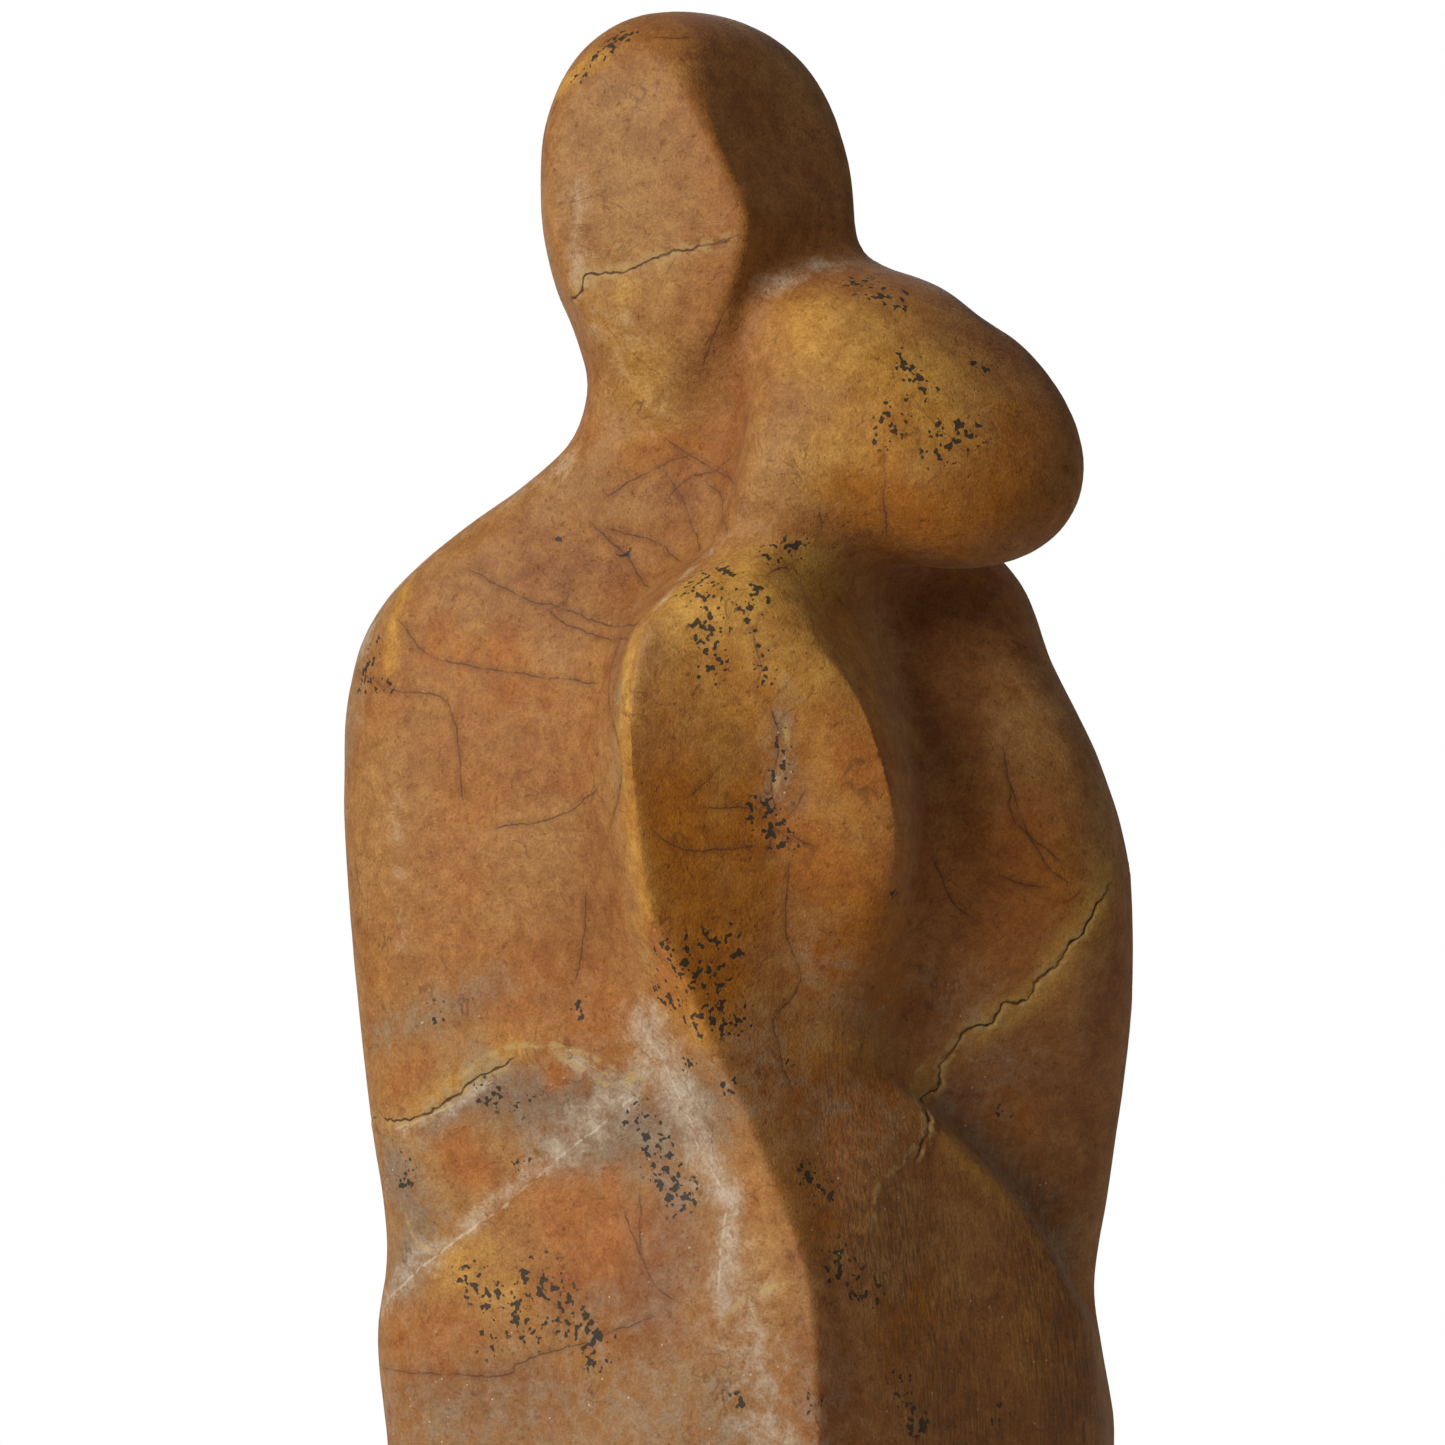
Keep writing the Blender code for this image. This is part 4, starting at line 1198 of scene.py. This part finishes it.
def fern_marks(paint):
    """Where the fern-like marks show: small round lobes that run together inside their zones."""
    growth = paint.attribute("dendrites")
    inky = paint.scaled(growth, 0.12, paint.noise(FERN_SIZE, 1, 0.60))
    inky = paint.scaled(paint.cells(FERN_LOBE_SIZE).outputs["Distance"], -0.26, inky)
    return paint.times(paint.spread(inky, 0.525, 0.560), paint.spread(growth, 0.05, 0.25))


def white_flecks(paint):
    """Where small white grains show: a few of the cells, mostly in the crusty zones."""
    cells = paint.cells(FLECK_SIZE)
    chance = paint.node("ShaderNodeSeparateColor", {0: cells.outputs["Color"]}).outputs[0]
    middle = paint.spread(cells.outputs["Distance"], 0.20, 0.10)
    flecks = paint.times(middle, paint.spread(chance, 0.93, 0.96))
    crusty = paint.math("MAXIMUM", paint.attribute("grey"), paint.attribute("rasped"))
    return paint.times(flecks, paint.spread(crusty, 0.0, 0.6, 0.12, 0.6))


def stone_material():
    paint = Paint("carved_stone")
    middling = paint.noise(MIDDLING_MOTTLING, 4, 0.62)
    mottled = paint.noise(FINE_MOTTLING, 4, 0.7)
    grain = paint.noise(GRAIN_SIZE, 2, 0.7)
    pits = paint.spread(paint.noise(PIT_SIZE, 3, 0.6), 0.40, 0.30)
    ferns = fern_marks(paint)
    rasped = paint.attribute("rasped")
    streaks = paint.noise(RASP_STREAK_SIZE, 3, 0.6, paint.stretched(RASP_STRETCH, RASP_SLANT))

    color = mottled_stone(paint, middling, mottled, grain, pits)
    color = with_lines(paint, color, middling)
    color = paint.mix(paint.times(ferns, 0.90), color, DENDRITE_BLACK)
    color = paint.mix(white_flecks(paint), color, FLECK_WHITE)
    color = paint.mix(paint.times(rasped, paint.spread(streaks, 0.40, 0.66, 0.1, 0.75)), color, RASP_BROWN)
    paint.put(paint.shader.inputs["Base Color"], color)

    roughness = paint.scaled(mottled, 0.25, 0.42)
    roughness = paint.scaled(paint.attribute("pale"), 0.15, roughness)
    paint.put(paint.shader.inputs["Roughness"], roughness)
    paint.shader.inputs["Specular IOR Level"].default_value = 0.18
    paint.shader.inputs["Sheen Weight"].default_value = 0.13
    paint.shader.inputs["Sheen Roughness"].default_value = 0.35

    height = paint.scaled(grain, 0.35, mottled)
    height = paint.scaled(pits, -0.45, height)
    height = paint.scaled(paint.times(rasped, streaks), 0.9, height)
    height = paint.scaled(ferns, -0.2, height)
    bump = paint.node("ShaderNodeBump", {"Height": height, "Strength": BUMP_STRENGTH, "Distance": BUMP_DEPTH})
    paint.put(paint.shader.inputs["Normal"], bump.outputs[0])
    return paint.material


def make_floor():
    """A plain pale disc under the base."""
    bpy.ops.mesh.primitive_circle_add(vertices=96, radius=FLOOR_RADIUS, fill_type="NGON")
    floor = bpy.context.active_object
    floor.name = "floor"
    material = bpy.data.materials.new("floor")
    material.use_nodes = True
    shader = material.node_tree.nodes["Principled BSDF"]
    shader.inputs["Base Color"].default_value = FLOOR_COLOR
    shader.inputs["Roughness"].default_value = 0.9
    floor.data.materials.append(material)


def make_light():
    for name, (place, size, power) in LAMPS.items():
        lamp = bpy.data.lights.new(name, "AREA")
        lamp.size = size
        lamp.energy = power
        holder = bpy.data.objects.new(name, lamp)
        bpy.context.scene.collection.objects.link(holder)
        holder.location = place
        holder.visible_glossy = name == "key"
        aim = Vector((0, 0, CAMERA_Z)) - holder.location
        holder.rotation_euler = aim.to_track_quat("-Z", "Y").to_euler()
    world = bpy.data.worlds.new("studio")
    bpy.context.scene.world = world
    world.use_nodes = True
    tree = world.node_tree
    seen = tree.nodes.new("ShaderNodeLightPath").outputs["Is Camera Ray"]
    shine = tree.nodes.new("ShaderNodeMapRange")
    tree.links.new(seen, shine.inputs["Value"])
    shine.inputs["To Min"].default_value = LIGHT_FILL
    shine.inputs["To Max"].default_value = BACKGROUND
    background = tree.nodes["Background"]
    background.inputs["Color"].default_value = (1, 1, 1, 1)
    tree.links.new(shine.outputs[0], background.inputs["Strength"])
    bpy.context.scene.view_settings.view_transform = "Standard"


def make_camera():
    data = bpy.data.cameras.new("camera")
    data.lens = LENS
    data.sensor_width = SENSOR
    camera = bpy.data.objects.new("camera", data)
    bpy.context.scene.collection.objects.link(camera)
    camera.location = (CAMERA_X, -CAMERA_DISTANCE, CAMERA_Z)
    camera.rotation_euler = (np.pi / 2, 0, 0)
    bpy.context.scene.camera = camera


make_camera()
make_light()
make_floor()

stone = bpy.data.objects.new("carved_stone_group", stone_piece())
bpy.context.scene.collection.objects.link(stone)
stone.data.materials.append(stone_material())
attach(stone, "root")
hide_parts("mother_and_child_figure")
